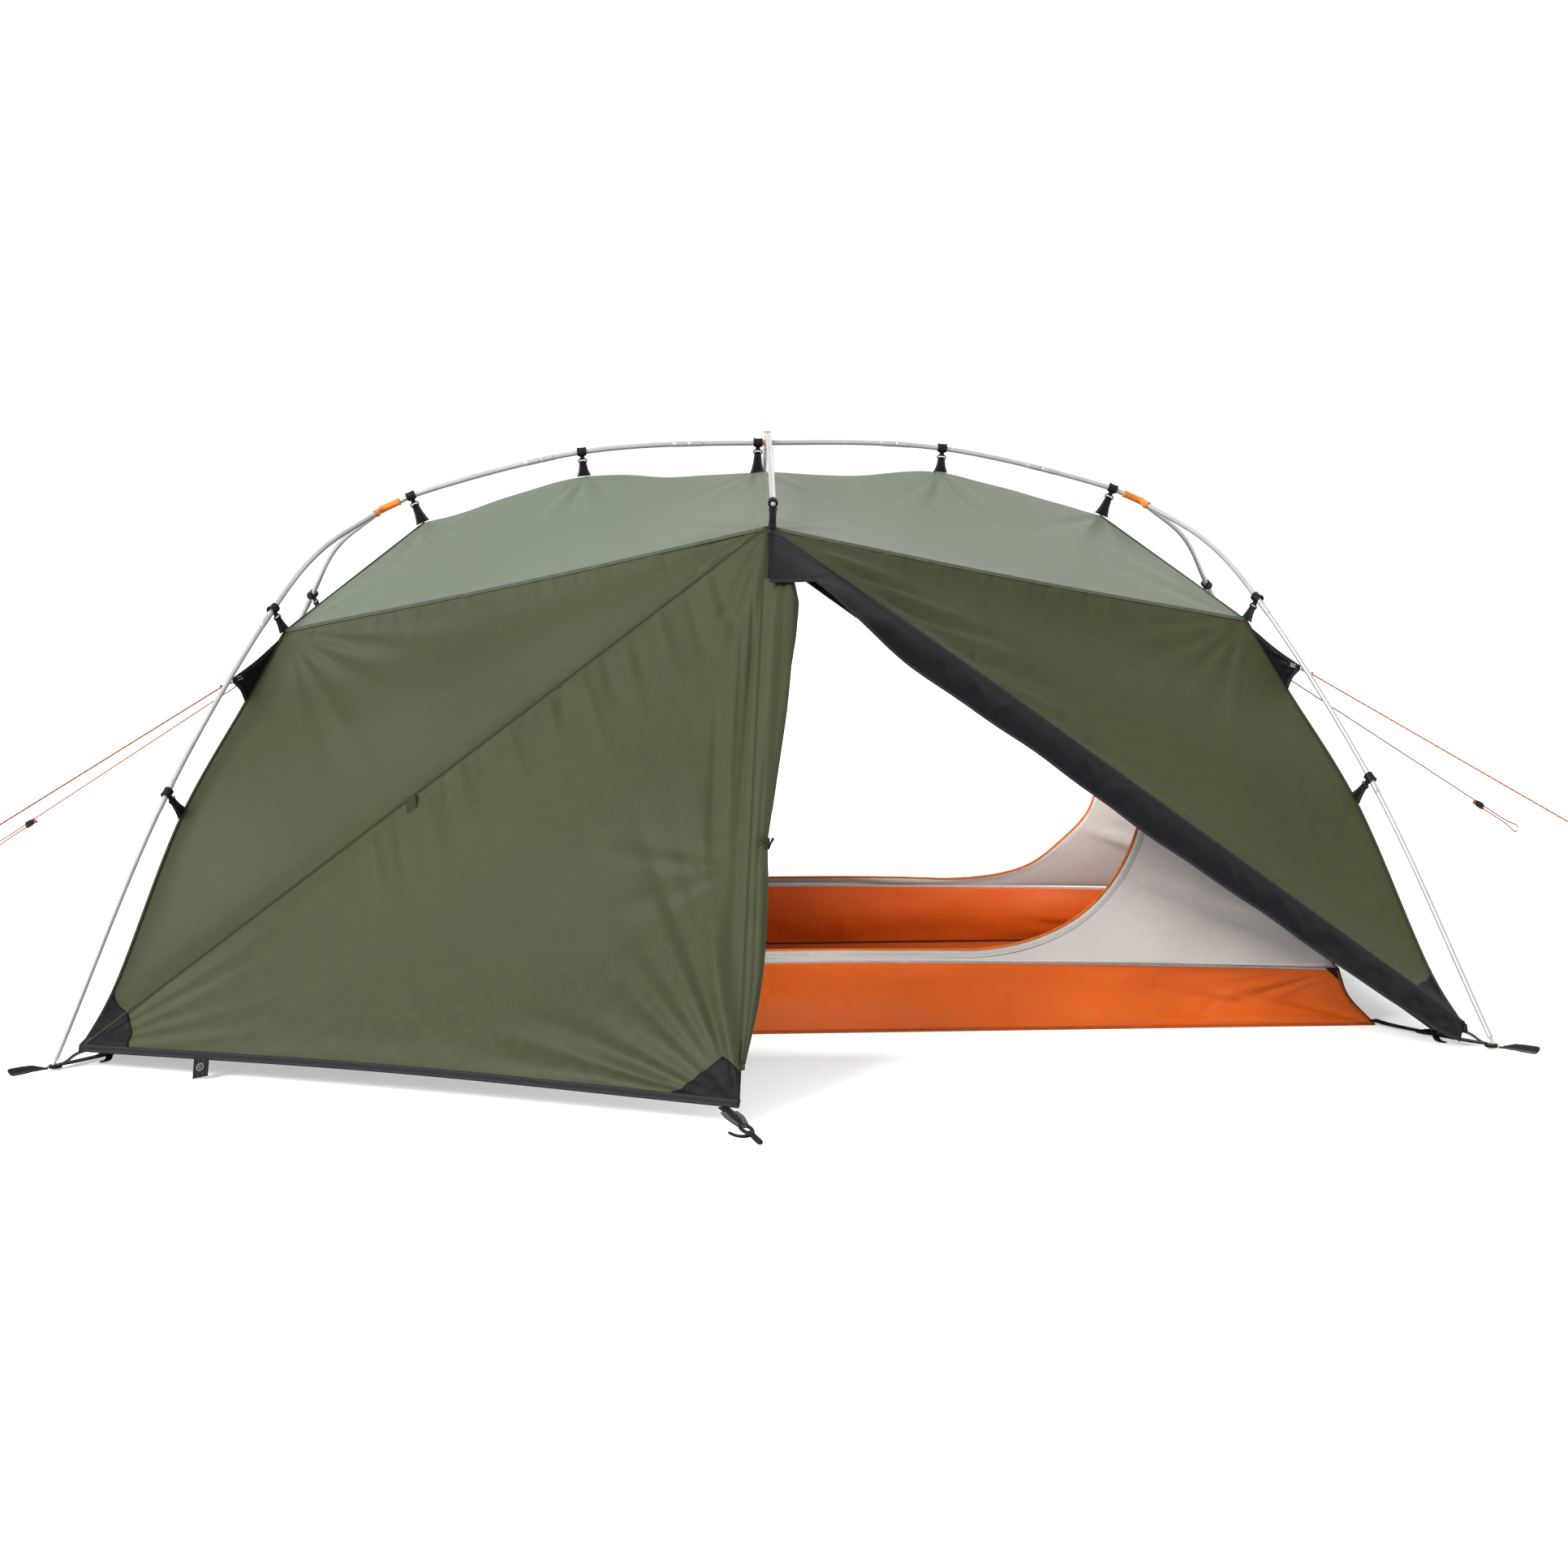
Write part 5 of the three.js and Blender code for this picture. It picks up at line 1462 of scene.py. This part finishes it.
def add_door_roll(fb, sy):
    """The open half of the door, wound into a loose roll and tied at its waist."""
    apex, stake = mirrored(FLY_APEX, 1, sy), mirrored(FLY_STAKE, 1, sy)
    beside = [36, 29, 16, 16, 3]
    places = [0.104, 0.3, ROLL_WAIST, 0.8, 0.935]
    route = [lerp(apex, stake, t) + P(x, 0, 0) for t, x in zip(places, beside)]
    count = 120
    line = even(spline(route, steps(400)), 1.0)
    line = np.stack([np.interp(np.linspace(0, len(line) - 1, count), np.arange(len(line)), line[:, k])
                     for k in range(3)], 1)
    t = steps(count)
    radius = np.interp(t, [0, 0.045, 0.12, 0.3, 0.5, 0.555, 0.565, 0.575, 0.585, 0.64, 0.75, 0.9, 1],
                       [15, 25, 27, 24, 16, 12, 11, 11, 12, 15.5, 15, 9, 3])
    turns, sides = 10, 20
    angle = np.linspace(0, 2 * np.pi * turns, turns * sides + 1)
    wind = 0.14 + 0.86 * (angle / angle[-1])
    tangents = unit(np.gradient(line, axis=0))
    across = unit(np.cross(tangents, P(0, 1, 0)))
    over = np.cross(across, tangents)
    over = over * np.sign(over[:, 1:2] * sy)
    drift = t[:, None] * 2.2
    lobes = 1 + 0.16 * np.sin(5 * angle[None] + 3 * drift) + 0.10 * np.sin(3 * angle[None] - 2.3 * drift + 1)
    lobes = lobes + 0.05 * np.sin(8 * angle[None] + 5 * drift)
    pinch = 1 - 0.65 * np.exp(-(((t - ROLL_WAIST) / 0.06) ** 2))
    lobes = 1 + (lobes - 1) * pinch[:, None]
    around = radius[:, None] * wind[None] * lobes / 1.12
    turn = angle[None] + math.radians(118)
    grid = line[:, None] + (around * np.cos(turn))[..., None] * across[:, None]
    grid = grid + 0.88 * (around * np.sin(turn))[..., None] * over[:, None]
    middle = door_middle(sy)(steps(300))
    inner = np.stack([np.interp(-line[:, 2], -middle[:, 2], middle[:, k]) for k in range(3)], axis=1)
    inner = inner + over * 1.6 - across * 1.5
    bridge = steps(9)[None, 1:, None]
    reach = grid[:, -1:] + (inner[:, None] - grid[:, -1:]) * bridge
    reach = reach + over[:, None] * (2.6 * np.sin(np.pi * bridge)
                                     + 1.6 * np.sin(t * 46)[:, None, None] * bridge * (1 - bridge))
    grid = np.concatenate([grid, reach], axis=1)
    roll = piece(f"door_roll_cloth_{fb}", cloth(grid, fly_olive), replaces=[f"door_roll_{fb}"])
    waist = int(ROLL_WAIST * count)
    center, axis = line[waist], tangents[waist]
    a = np.arange(40) / 40 * 2 * np.pi
    girdle = center + (12.2 * np.cos(a))[:, None] * across[waist] + (11.4 * np.sin(a))[:, None] * over[waist]
    girdle = girdle + axis * (3 * np.sin(a))[:, None]
    parts = [sweep(girdle, strap_profile(13, 1.6), unit(girdle - center), olive_seam, closed=True)]
    front = P(0, sy, 0)
    for lean, reach in ((-3.5, 1.0), (5, 0.8)):
        bow = [center - across[waist] * 9 + front * 12.5, center + front * 14 + axis * lean,
               center + across[waist] * 10 * reach + front * 9 + axis * lean * 2.4]
        parts.append(sweep(spline(bow, steps(14)), strap_profile(8, 1.6), front, olive_seam))
    toggle_at = center + P(14, sy * 4, -2)
    lean = unit(P(0.45, 0, 0.9))
    barrel = [(-11, 0.6), (-10.4, 1.9), (-7, 2.6), (-1.5, 1.7), (1.5, 1.7), (7, 2.6), (10.4, 1.9), (11, 0.6)]
    parts.append(lathe(toggle_at, lean, barrel, black_plastic, 14))
    elastic = [center + P(-12, sy * 11, -8), center + P(0, sy * 15, -4), toggle_at]
    parts.append(tube(spline(elastic, steps(16)), 1.3, black_cord, sides=8))
    parts.append(lathe(center + P(-12, sy * 11.5, -9), P(0, sy, 0),
                       [(-2, 1), (-1.5, 3), (1.5, 3.2), (2.4, 2)], black_plastic, 14))
    tie = piece(f"door_tie_{fb}", parts)


def add_zip_slider(fb, sy):
    """The slider of the door zip behind the storm flap, with its cord pull."""
    upper, along, fall, face = flap_edges(sy)
    start, end = point_on(upper, 0.0), point_on(upper, 1.0)
    at = lerp(start, end, 0.93) + fall * 16 - face * 9
    body_outline = [(-6.5, -2.6), (-5, -4), (1, -4.4), (5.5, -3.4), (6.5, -1.2), (6.5, 1.2), (5.5, 3.4),
                    (1, 4.4), (-5, 4), (-6.5, 2.6)]
    parts = [plate(at + face * 1.8, along, fall, body_outline, 2.2, 0.7, zip_metal),
             plate(at - face * 1.8, along, fall, body_outline, 2.2, 0.7, zip_metal),
             plate(at, along, fall, rounded(4, 4, 1), 4.4, 0.5, zip_metal)]
    bridge = [at + along * d + face * -(3.0 + 1.8 * math.sin(math.pi * (d + 4) / 8))
              for d in np.linspace(-4, 4, 9)]
    parts.append(tube(np.array(bridge), 0.9, zip_metal, sides=8))
    ring_at = at - face * 4.4 - along * 5.5
    parts.append(hoop(ring_at, along, fall, 9, 5.2, 2.2, 1.3, 1.5, zip_metal))
    pull = [ring_at - along * d for d in np.linspace(4, 19, 9)]
    wide = widths(np.interp(np.arange(9), [0, 2, 8], [0.7, 1, 0.9]))
    parts.append(sweep(np.array(pull), strap_profile(5, 2), face, guy_cord, wide))
    piece(f"zip_runner_{fb}", parts, body=f"zip_slider_{fb}", replaces=[f"zip_slider_{fb}"])


for side_name, side_y in SIDES_Y.items():
    add_side_left(side_name, side_y)
    add_side_right(side_name, side_y)
    add_flap(side_name, side_y)
    add_door_roll(side_name, side_y)
    add_zip_slider(side_name, side_y)


# ---------- inner tent ----------
def rim_drop(share):
    """How far the tub's rim lies below its full height, from one corner (0) to the next (1)."""
    return TUB_CORNER_DROP * np.abs(2 * share - 1) ** 1.6


def add_tub():
    """The floor and its four low walls, as one cloth piece."""
    (bx, by), (tx, ty), height = TUB_BOTTOM, TUB_TOP, TUB_HEIGHT
    bottom = [P(bx * sx, by * sy, 1.0) for sx, sy in ((-1, -1), (1, -1), (1, 1), (-1, 1))]
    top = [P(tx * sx, ty * sy, height) for sx, sy in ((-1, -1), (1, -1), (1, 1), (-1, 1))]
    parts, trims, patches = [], [], []
    floor = coons(edge(bottom[0], bottom[1]), edge(bottom[3], bottom[2]), edge(bottom[0], bottom[3]),
                  edge(bottom[1], bottom[2]), 60, 120)
    random = np.random.default_rng(17)
    rise = np.abs(ripples(floor, 18, 2.4, 380, 120)) * fade_edges(floor.shape, 8, 8)
    floor = floor + UP * rise[..., None]
    parts.append(cloth(floor, inner_orange))
    for k in range(4):
        a, b = bottom[k], bottom[(k + 1) % 4]
        c, d = top[k], top[(k + 1) % 4]
        inwards = unit(-lerp(a, b, 0.5) * (1, 1, 0))
        length = np.linalg.norm(b - a)
        marks = [lerp(c, d, q) - UP * rim_drop(q) + inwards * 4 * math.sin(math.pi * q) for q in steps(9)]
        rim = edge(*marks)
        c, d = marks[0], marks[-1]
        side_low = edge(a, lerp(a, c, 0.5) + (unit(b - a) + inwards) * 13, c)
        side_high = edge(b, lerp(b, d, 0.5) + (inwards - unit(b - a)) * 13, d)
        grid = coons(edge(a, b), rim, side_low, side_high, 20, 280 if length > 1500 else 130)
        normals = grid_normals(grid, -inwards)
        folds = ripples(grid, 19 + k, 2.5, 260, 70) * fade_edges(grid.shape, 5, 10)
        for corner, other in ((a, b), (b, a)):
            folds += fan_folds(grid, corner, lerp(corner, other, 0.16) + UP * 105,
                               lerp(corner, other, 0.3) + UP * 20, 8, 13, 11, 23 + k + int(corner[0]) % 5)
            upper_corner = c if corner is a else d
            folds += fan_folds(grid, upper_corner, lerp(corner, other, 0.22) + UP * 100,
                               lerp(corner, other, 0.12) + UP * 10, 6, 12, 7, 29 + k)
        for _ in range(14):
            share = random.uniform(0.08, 0.92)
            start = lerp(a, b, share) + UP * 4
            end = start + unit(b - a) * random.uniform(-90, 90) + UP * random.uniform(60, 110)
            folds += crease(grid, start, end, 11, random.uniform(-4.2, 4.2))
        grid = raised(grid, normals, folds)
        parts.append(cloth(grid, inner_orange))
        for near, far, side in ((0.0, 1.0, side_low), (1.0, 0.0, side_high)):
            reach = 24 / length * (1 if far else -1)
            high_out, low_out = point_on(rim, near), point_on(side, 0.72)
            high_in = point_on(rim, near + reach)
            low_in = lerp(low_out, high_in, 0.35)
            patch = coons(edge(high_out, high_in), edge(low_out, low_in), edge(high_out, low_out),
                          edge(high_in, low_in), 8, 8)
            patches.append(cloth(patch - inwards * 2.2 + UP * 1.2, black_cloth))
        seam(trims, rim(steps(200)), -inwards, grey_seam, 5, 1.8, 0.2)
        seam(trims, edge(a, b)(steps(200)) + UP * 2.0, unit(UP - inwards), orange_seam, 8, 1.8, 0)
        seam(trims, side_low(steps(30)), unit(-inwards - unit(b - a)), orange_seam, 7, 1.8, 0.2)
    tub = piece("tub_cloth", parts, replaces=["inner_tub"], solid=CLOTH_THICK)
    seams = piece("tub_seams", trims)
    corners = piece("tub_corner_patches", patches, solid=LINING_THICK)


def door_outline(count):
    """The inner door's opening as (x, up the slope) points, evenly spread from the middle of its sill."""
    foot, low, wide, corner, peak, top = (DOOR[k] for k in ("foot", "low", "wide", "corner", "peak", "top"))

    def bend(a, b, c):
        t = steps(40)[:, None]
        return (1 - t) ** 2 * np.array(a) + 2 * t * (1 - t) * np.array(b) + t**2 * np.array(c)

    run = [np.array([(0, foot)]), bend((corner, foot), (wide - 60, foot + 20), (wide, low)),
           bend((wide, low), (wide - 60, top), (peak, top)),
           bend((-peak, top), (-wide + 60, top), (-wide, low)),
           bend((-wide, low), (-wide + 60, foot + 20), (-corner, foot)), np.array([(0, foot)])]
    line = np.vstack(run).astype(float)
    line = np.column_stack([line, np.zeros(len(line))])
    far = distances(line)
    marks = np.linspace(0, far[-1], count + 1)[:-1]
    return np.stack([np.interp(marks, far, line[:, k]) for k in range(2)], axis=1)


def add_inner_wall(fb, sy):
    """A long wall of the inner tent, drawn as rings of cloth from its outer edge in to the door."""
    low = P(0, sy * (TUB_TOP[1] - 2), TUB_HEIGHT + 1)
    high = P(0, sy * 5, INNER_RIDGE[2])
    slope = unit(high - low)
    length = np.linalg.norm(high - low)
    facing = unit(np.cross(P(1, 0, 0), slope))
    facing = facing if facing[1] * sy > 0 else -facing
    half, top_half = TUB_TOP[0] - 8, INNER_RIDGE[0]
    count = 320
    door = door_outline(count)
    center = np.array([0.0, DOOR["low"]])
    corners = np.array([(-half, 0), (half, 0), (top_half, length), (-top_half, length)])
    outer = np.zeros_like(door)
    for k, q in enumerate(door):
        ray = q - center
        best = None
        for n in range(4):
            a, b = corners[n], corners[(n + 1) % 4]
            side = b - a
            det = ray[0] * -side[1] + ray[1] * side[0]
            if abs(det) < 1e-9:
                continue
            w = a - center
            reach = (w[0] * -side[1] + w[1] * side[0]) / det
            share = (ray[0] * w[1] - ray[1] * w[0]) / det
            if reach > 0 and -0.001 <= share <= 1.001 and (best is None or reach < best):
                best = reach
        outer[k] = center + ray * best
    for n in range(4):
        k = int(np.argmin(np.linalg.norm(outer - corners[n], axis=1)))
        outer[k] = corners[n]
    rows = 22
    s = steps(rows)[:, None, None]
    flat = (1 - s) * outer[None] + s * door[None]
    if sy > 0:
        at_edge = np.exp(-(((flat[..., 0] - 560) / 200) ** 2))
        slack = s[..., 0] * at_edge * np.clip(1 - flat[..., 1] / 700, 0, 1)
        flat = flat + np.stack([slack * (34 + 7 * np.sin(flat[..., 1] / 26)), -slack * 16], axis=-1)
    grid = low + flat[..., :1] * P(1, 0, 0) + flat[..., 1:] * slope
    droop = rim_drop((flat[..., 0] / half + 1) / 2) * np.clip(1 - flat[..., 1] / 330, 0, 1) ** 2
    grid = grid - slope * droop[..., None]
    swell = ripples(grid, 41 + sy, 4, 420, 110)
    inner = np.clip(1 - np.abs(s[..., 0] * 2 - 1) ** 3, 0, 1)
    rise = swell * inner
    for n, corner in enumerate(corners):
        anchor = low + P(1, 0, 0) * corner[0] + slope * corner[1]
        target = low + P(1, 0, 0) * corner[0] * 0.55 + slope * (corner[1] * 0.5 + length * 0.2)
        first = target + P(1, 0, 0) * (-160) + slope * 90
        last = target + P(1, 0, 0) * 160 - slope * 60
        rise += fan_folds(grid, anchor, first, last, 9, 20, 13, 43 + n + sy) * inner
    grid = grid + facing * rise[..., None]
    faces = grid_faces(rows, count, wrap=True)
    uv = flat.reshape(-1, 2) * MM
    wall_cloth = Part(grid.reshape(-1, 3), faces.tolist(), uv[faces].reshape(-1, 2), inner_grey)
    wall = piece(f"inner_wall_cloth_{fb}", wall_cloth, replaces=[f"inner_wall_{fb}"],
                 solid=LINING_THICK)
    rim = grid[-1]
    trims = [tube(rim + facing * 0.5, 2.3, orange_piping, sides=10, closed=True)]
    lanes = np.roll(rim, 1, axis=0) - np.roll(rim, -1, axis=0)
    outwards = unit(np.cross(lanes, facing))
    outwards = np.where(((rim - rim.mean(axis=0)) * outwards).sum(1)[:, None] < 0, -outwards, outwards)
    trims.append(sweep(rim + outwards * 11 + facing * 0.9, strap_profile(9, 1.2), facing, inner_zip,
                       closed=True))
    piping = piece(f"inner_door_piping_{fb}", trims)
    ridge_parts = []
    a = low + P(1, 0, 0) * -top_half + slope * length
    b = low + P(1, 0, 0) * top_half + slope * length
    seam(ridge_parts, edge(a, b)(steps(120)), facing, grey_seam, 8, 2, 0)
    for sx in (-1, 1):
        c = low + P(1, 0, 0) * half * sx
        d = low + P(1, 0, 0) * top_half * sx + slope * length
        seam(ridge_parts, edge(c, d)(steps(120)), facing, grey_seam, 7, 2, 0)
    edging = piece(f"inner_wall_seams_{fb}", ridge_parts)
    last = np.roll(door, 1, axis=0)


def add_inner_end(lr, sx):
    """The triangular end wall of the inner tent."""
    low, y = TUB_TOP[0] - 2, TUB_TOP[1] - 14
    x = INNER_RIDGE[0] + 8
    z = INNER_RIDGE[2] - 22
    base = TUB_HEIGHT + 2
    bottom = edge(*[P(sx * (low + rim_drop(q) * 0.4), y * (2 * q - 1), base - rim_drop(q)) for q in steps(9)])
    top = edge(P(sx * x, -12, z), P(sx * x, 12, z))
    ends = [edge(point_on(top, k), point_on(bottom, k)) for k in (0.0, 1.0)]
    grid = coons(top, bottom, *ends, 90, 70)
    normals = grid_normals(grid, P(sx, 0, 0.5))
    rise = ripples(grid, 51 + sx, 5, 420, 120) * fade_edges(grid.shape, 10, 10)
    peak = P(sx * x, 0, z)
    rise += fan_folds(grid, peak, point_on(bottom, 0.1), point_on(bottom, 0.9), 8, 26, 5, 53 + sx)
    for k in (0.0, 1.0):
        corner = point_on(bottom, k)
        rise += fan_folds(grid, corner, lerp(corner, peak, 0.5), P(sx * low, 0, 240), 6, 22, 5,
                          57 + sx + int(k))
    grid = raised(grid, normals, rise)
    wall = piece(f"inner_end_cloth_{lr}", cloth(grid, inner_grey), replaces=[f"inner_end_{lr}"],
                 solid=LINING_THICK)


add_tub()
for side_name, side_y in SIDES_Y.items():
    add_inner_wall(side_name, side_y)
for side_name, side_x in SIDES_X.items():
    add_inner_end(side_name, side_x)


# ---------- corners on the ground ----------
def webbing_run(points, width, material, facing, thick=1.7, wide=None):
    """A strap through the points; wide holds shares along it and its scale there."""
    path = even(spline(np.array(points), steps(80)), 4.0)
    scale = 1.0
    if wide:
        scale = widths(np.interp(steps(len(path)), *wide))
    return sweep(path, strap_profile(width, thick), facing, material, scale)


def add_corner(name, sx, sy):
    """Strap, buckle, foot cup and eyelet between the tub's corner and a pole's foot, and the pull tab."""
    foot = mirrored(FOOT, sx, sy) * (1, 1, 0)
    start = P(sx * (TUB_BOTTOM[0] + 3), sy * (TUB_BOTTOM[1] + 3), 0)
    along = unit(foot - start)
    level = unit(np.cross(UP, along))
    at = lambda share, z, aside=0: lerp(start, foot, share) + P(0, 0, z) + level * aside
    parts = [webbing_run([at(-0.03, 9), at(0.1, 6.5), at(0.42, 5.5)], 20, webbing, UP),
             webbing_run([at(0.40, 8.0), at(0.43, 9.2), at(0.5, 8.6), at(0.6, 6)], 20, webbing, UP),
             webbing_run([at(0.46, 4.6), at(0.7, 5.2), at(0.9, 6.0), at(0.985, 6.6)], 20, webbing, UP, 2.2,
                         ([0, 0.75, 1], [1, 1, 0.62]))]
    buckle = at(0.45, 6.4)
    parts.append(hoop(buckle, along, level, 27, 28, 3.2, 3.4, 4.2, black_plastic))
    for d in (-4.2, 4.2):
        bar = np.array([buckle + along * d + level * k + UP * 0.5 for k in np.linspace(-12.5, 12.5, 7)])
        parts.append(tube(bar, 1.8, black_plastic, sides=10))
    parts.append(webbing_run([buckle + UP * 3.4 - along * 4, buckle + UP * 5.6 + along * 12 + level * 2,
                              buckle + UP * 2.5 + along * 32 + level * 12 * sx * sy,
                              buckle - UP * 4.6 + along * 52 + level * 24 * sx * sy,
                              buckle - UP * 5.2 + along * 74 + level * 28 * sx * sy], 11, webbing, UP, 1.5,
                             ([0, 0.3, 0.9, 1], [1.4, 1.2, 1.0, 0.7])))
    disc = [(0, 3.8), (0.2, CUP_RADIUS - 2.0), (1.0, CUP_RADIUS - 0.4), (2.6, CUP_RADIUS),
            (4.2, CUP_RADIUS - 0.6), (5.0, CUP_RADIUS - 3), (5.2, 6.2), (5.0, 5.4), (1, 5.2)]
    parts.append(lathe(foot + UP * 2.6, UP, disc, webbing, 30))
    eyelet = [(0, 5.2), (1.0, 8.6), (1.6, 8.8), (2.1, 7.6), (1.9, 5.6), (0.4, 5.0)]
    parts.append(lathe(foot + UP * 7.2, UP, eyelet, brass, 30))
    hem = mirrored(FLY_HEM_CORNER, sx, sy)
    towards = unit((foot - hem) * (1, 1, 0))
    run = [hem + P(0, 0, -1) - towards * 14, hem + towards * 6 + P(0, 0, -6),
           lerp(hem, foot, 0.62) + P(0, 0, -1), foot + UP * 8.6 - towards * 9]
    parts.append(webbing_run(run, 15, reflective, UP, 2.0, ([0, 0.25, 0.7, 1], [1.25, 0.95, 0.6, 0.8])))
    piece(f"corner_webbing_{name}", parts, replaces=[f"corner_strap_{name}"])

    pull = unit(mirrored(PULL_HEADING, sx, sy))
    base = foot + pull * (CUP_RADIUS + 2.6)
    count = 30
    share = steps(count)
    wide = np.interp(share, [0, 0.12, 0.3, 0.6, 0.93, 0.98, 1], [0.34, 0.42, 0.72, 0.98, 1.0, 0.85, 0.5])
    lift = 4.5 + 4.5 * np.clip(share * 2.5, 0, 1)
    run = np.array([base + pull * (1 + s * (PULL_LENGTH - 3)) + UP * z for s, z in zip(share, lift)])
    twist = np.array([UP + P(0, sy * 1.3, 0) * min(1, s * 3) for s in share])
    tab = [sweep(run + unit(twist) * k, strap_profile(16, 1.9), unit(twist), reflective, widths(wide))
           for k in (-1.0, 1.0)]
    tail = np.array([base + pull * d + UP * 6.8 for d in np.linspace(-2.4, 9, 8)])
    tab.append(sweep(tail, strap_profile(6, 1.6), UP, gold_thread))
    piece(f"pull_tab_webbing_{name}", tab, body=f"pull_tab_{name}", replaces=[f"pull_tab_{name}"])


for corner_name, corner_x, corner_y in CORNERS:
    add_corner(corner_name, corner_x, corner_y)


def add_peg_hook(fb, sy):
    """Webbing from the door's low corner, and the moulded hook that goes round a peg."""
    top = mirrored(FLY_STAKE, 1, sy) + P(-16, sy * 9, -7)
    low = P(-40, sy * 1508, 6)
    along = unit(low - top)
    level = unit(np.cross(UP, along))
    facing = unit(np.cross(along, level))
    facing = facing if facing[2] > 0 else -facing
    length = np.linalg.norm(low - top)
    at = lambda share, aside=0.0, lift=0.0: top + along * length * share + level * aside + facing * lift
    parts = []
    for aside in (-1, 1):
        run = [at(0.0, aside * 9.5), at(0.16, aside * 11, 0.6), at(0.34, aside * 8.0), at(0.5, aside * 3.4)]
        parts.append(webbing_run(run, 8.6, reflective_edge, facing, 2.4))
    parts.append(webbing_run([at(0.0), at(0.2, 0, -0.8), at(0.46, 0, -0.6)], 15, webbing, facing, 1.8,
                             ([0, 0.6, 1], [1.05, 0.85, 0.35])))
    for aside in (-1, 1):
        rail = [at(0.42, aside * 4.4), at(0.52, aside * 7.6), at(0.62, aside * 6.2), at(0.70, aside * 2.2)]
        parts.append(tube(spline(np.array(rail), steps(22)), 2.9, black_plastic, sides=12))
    tongue_path = spline(np.array([at(0.64), at(0.78), at(0.9), at(0.99)]), steps(22))
    girth = np.interp(steps(22), [0, 0.15, 0.85, 0.96, 1], [3.4, 5.2, 5.4, 4.4, 2.0])
    parts.append(tube(tongue_path, girth, black_plastic, sides=14, squash=0.72))
    claw = [at(0.68, 0), at(0.75, -9), at(0.75, -19), at(0.69, -28, 0.4), at(0.61, -32, 0.8)]
    claw_path = spline(np.array(claw), steps(30))
    girth = np.interp(steps(30), [0, 0.2, 0.7, 0.93, 1], [4.4, 4.0, 3.2, 2.8, 1.1])
    parts.append(tube(claw_path, girth, black_plastic, sides=12, squash=0.75))
    tab = [at(-0.16, -2, 0.5), at(-0.08, -1, 0.3), at(0.02)]
    piece(f"stake_webbing_{fb}", webbing_run(tab, 17, webbing, facing, 2.4))
    piece(f"peg_hook_moulding_{fb}", parts, body=f"peg_hook_{fb}", replaces=[f"peg_hook_{fb}"])


add_peg_hook("front", -1)
add_peg_hook("back", 1)

# ---------- floor and light ----------
FLOOR_HALF = 14000
FLOOR_DROP = 0.5
WORLD_STRENGTH = 1.08
# name, towards the sun, strength, how wide it looks in degrees
SUNS = [("key_sun", P(-0.62, -0.48, 0.62), 5.6, 34), ("fill_sun", P(0.55, 0.62, 0.56), 1.2, 60)]
# name, place, the way it shines, watts
LAMPS = [("door_fill", P(70, -760, 330), P(0.1, 1, -0.05), 2.2),
         ("inner_fill", P(560, 120, 400), P(0.25, 1, -0.1), 6.0)]
LAMP_WIDTH, LAMP_HEIGHT = 0.56, 0.36


def add_lamp(name, kind, axis, towards, place=P(0, 0, 0), **settings):
    """A light that looks along one of its own axes; place is in millimetres."""
    data = bpy.data.lights.new(name, kind)
    for key, value in settings.items():
        setattr(data, key, value)
    lamp = bpy.data.objects.new(name, data)
    lamp.location = Vector(place * MM)
    lamp.rotation_euler = Vector(towards).to_track_quat(axis, "Y").to_euler()
    bpy.context.scene.collection.objects.link(lamp)


def add_stage():
    ring = [P(x, y, -FLOOR_DROP) for x, y in ((-1, -1), (1, -1), (1, 1), (-1, 1))]
    ring = [p * (FLOOR_HALF, FLOOR_HALF, 1) for p in ring]
    part = Part(np.array(ring), [[0, 1, 2, 3]], np.array(ring)[:, :2] * MM, floor_material())
    floor = piece("floor", part, body=None)
    world = bpy.data.worlds.new("studio")
    world.use_nodes = True
    background = world.node_tree.nodes["Background"]
    background.inputs["Color"].default_value = (1.0, 1.0, 1.0, 1.0)
    background.inputs["Strength"].default_value = WORLD_STRENGTH
    bpy.context.scene.world = world
    for name, towards, strength, soft in SUNS:
        add_lamp(name, "SUN", "Z", towards, energy=strength, angle=math.radians(soft))
    for name, place, towards, watts in LAMPS:
        add_lamp(name, "AREA", "-Z", towards, place, shape="ELLIPSE", size=LAMP_WIDTH, size_y=LAMP_HEIGHT,
                 energy=watts)
    bpy.context.scene.view_settings.view_transform = "Standard"


add_stage()
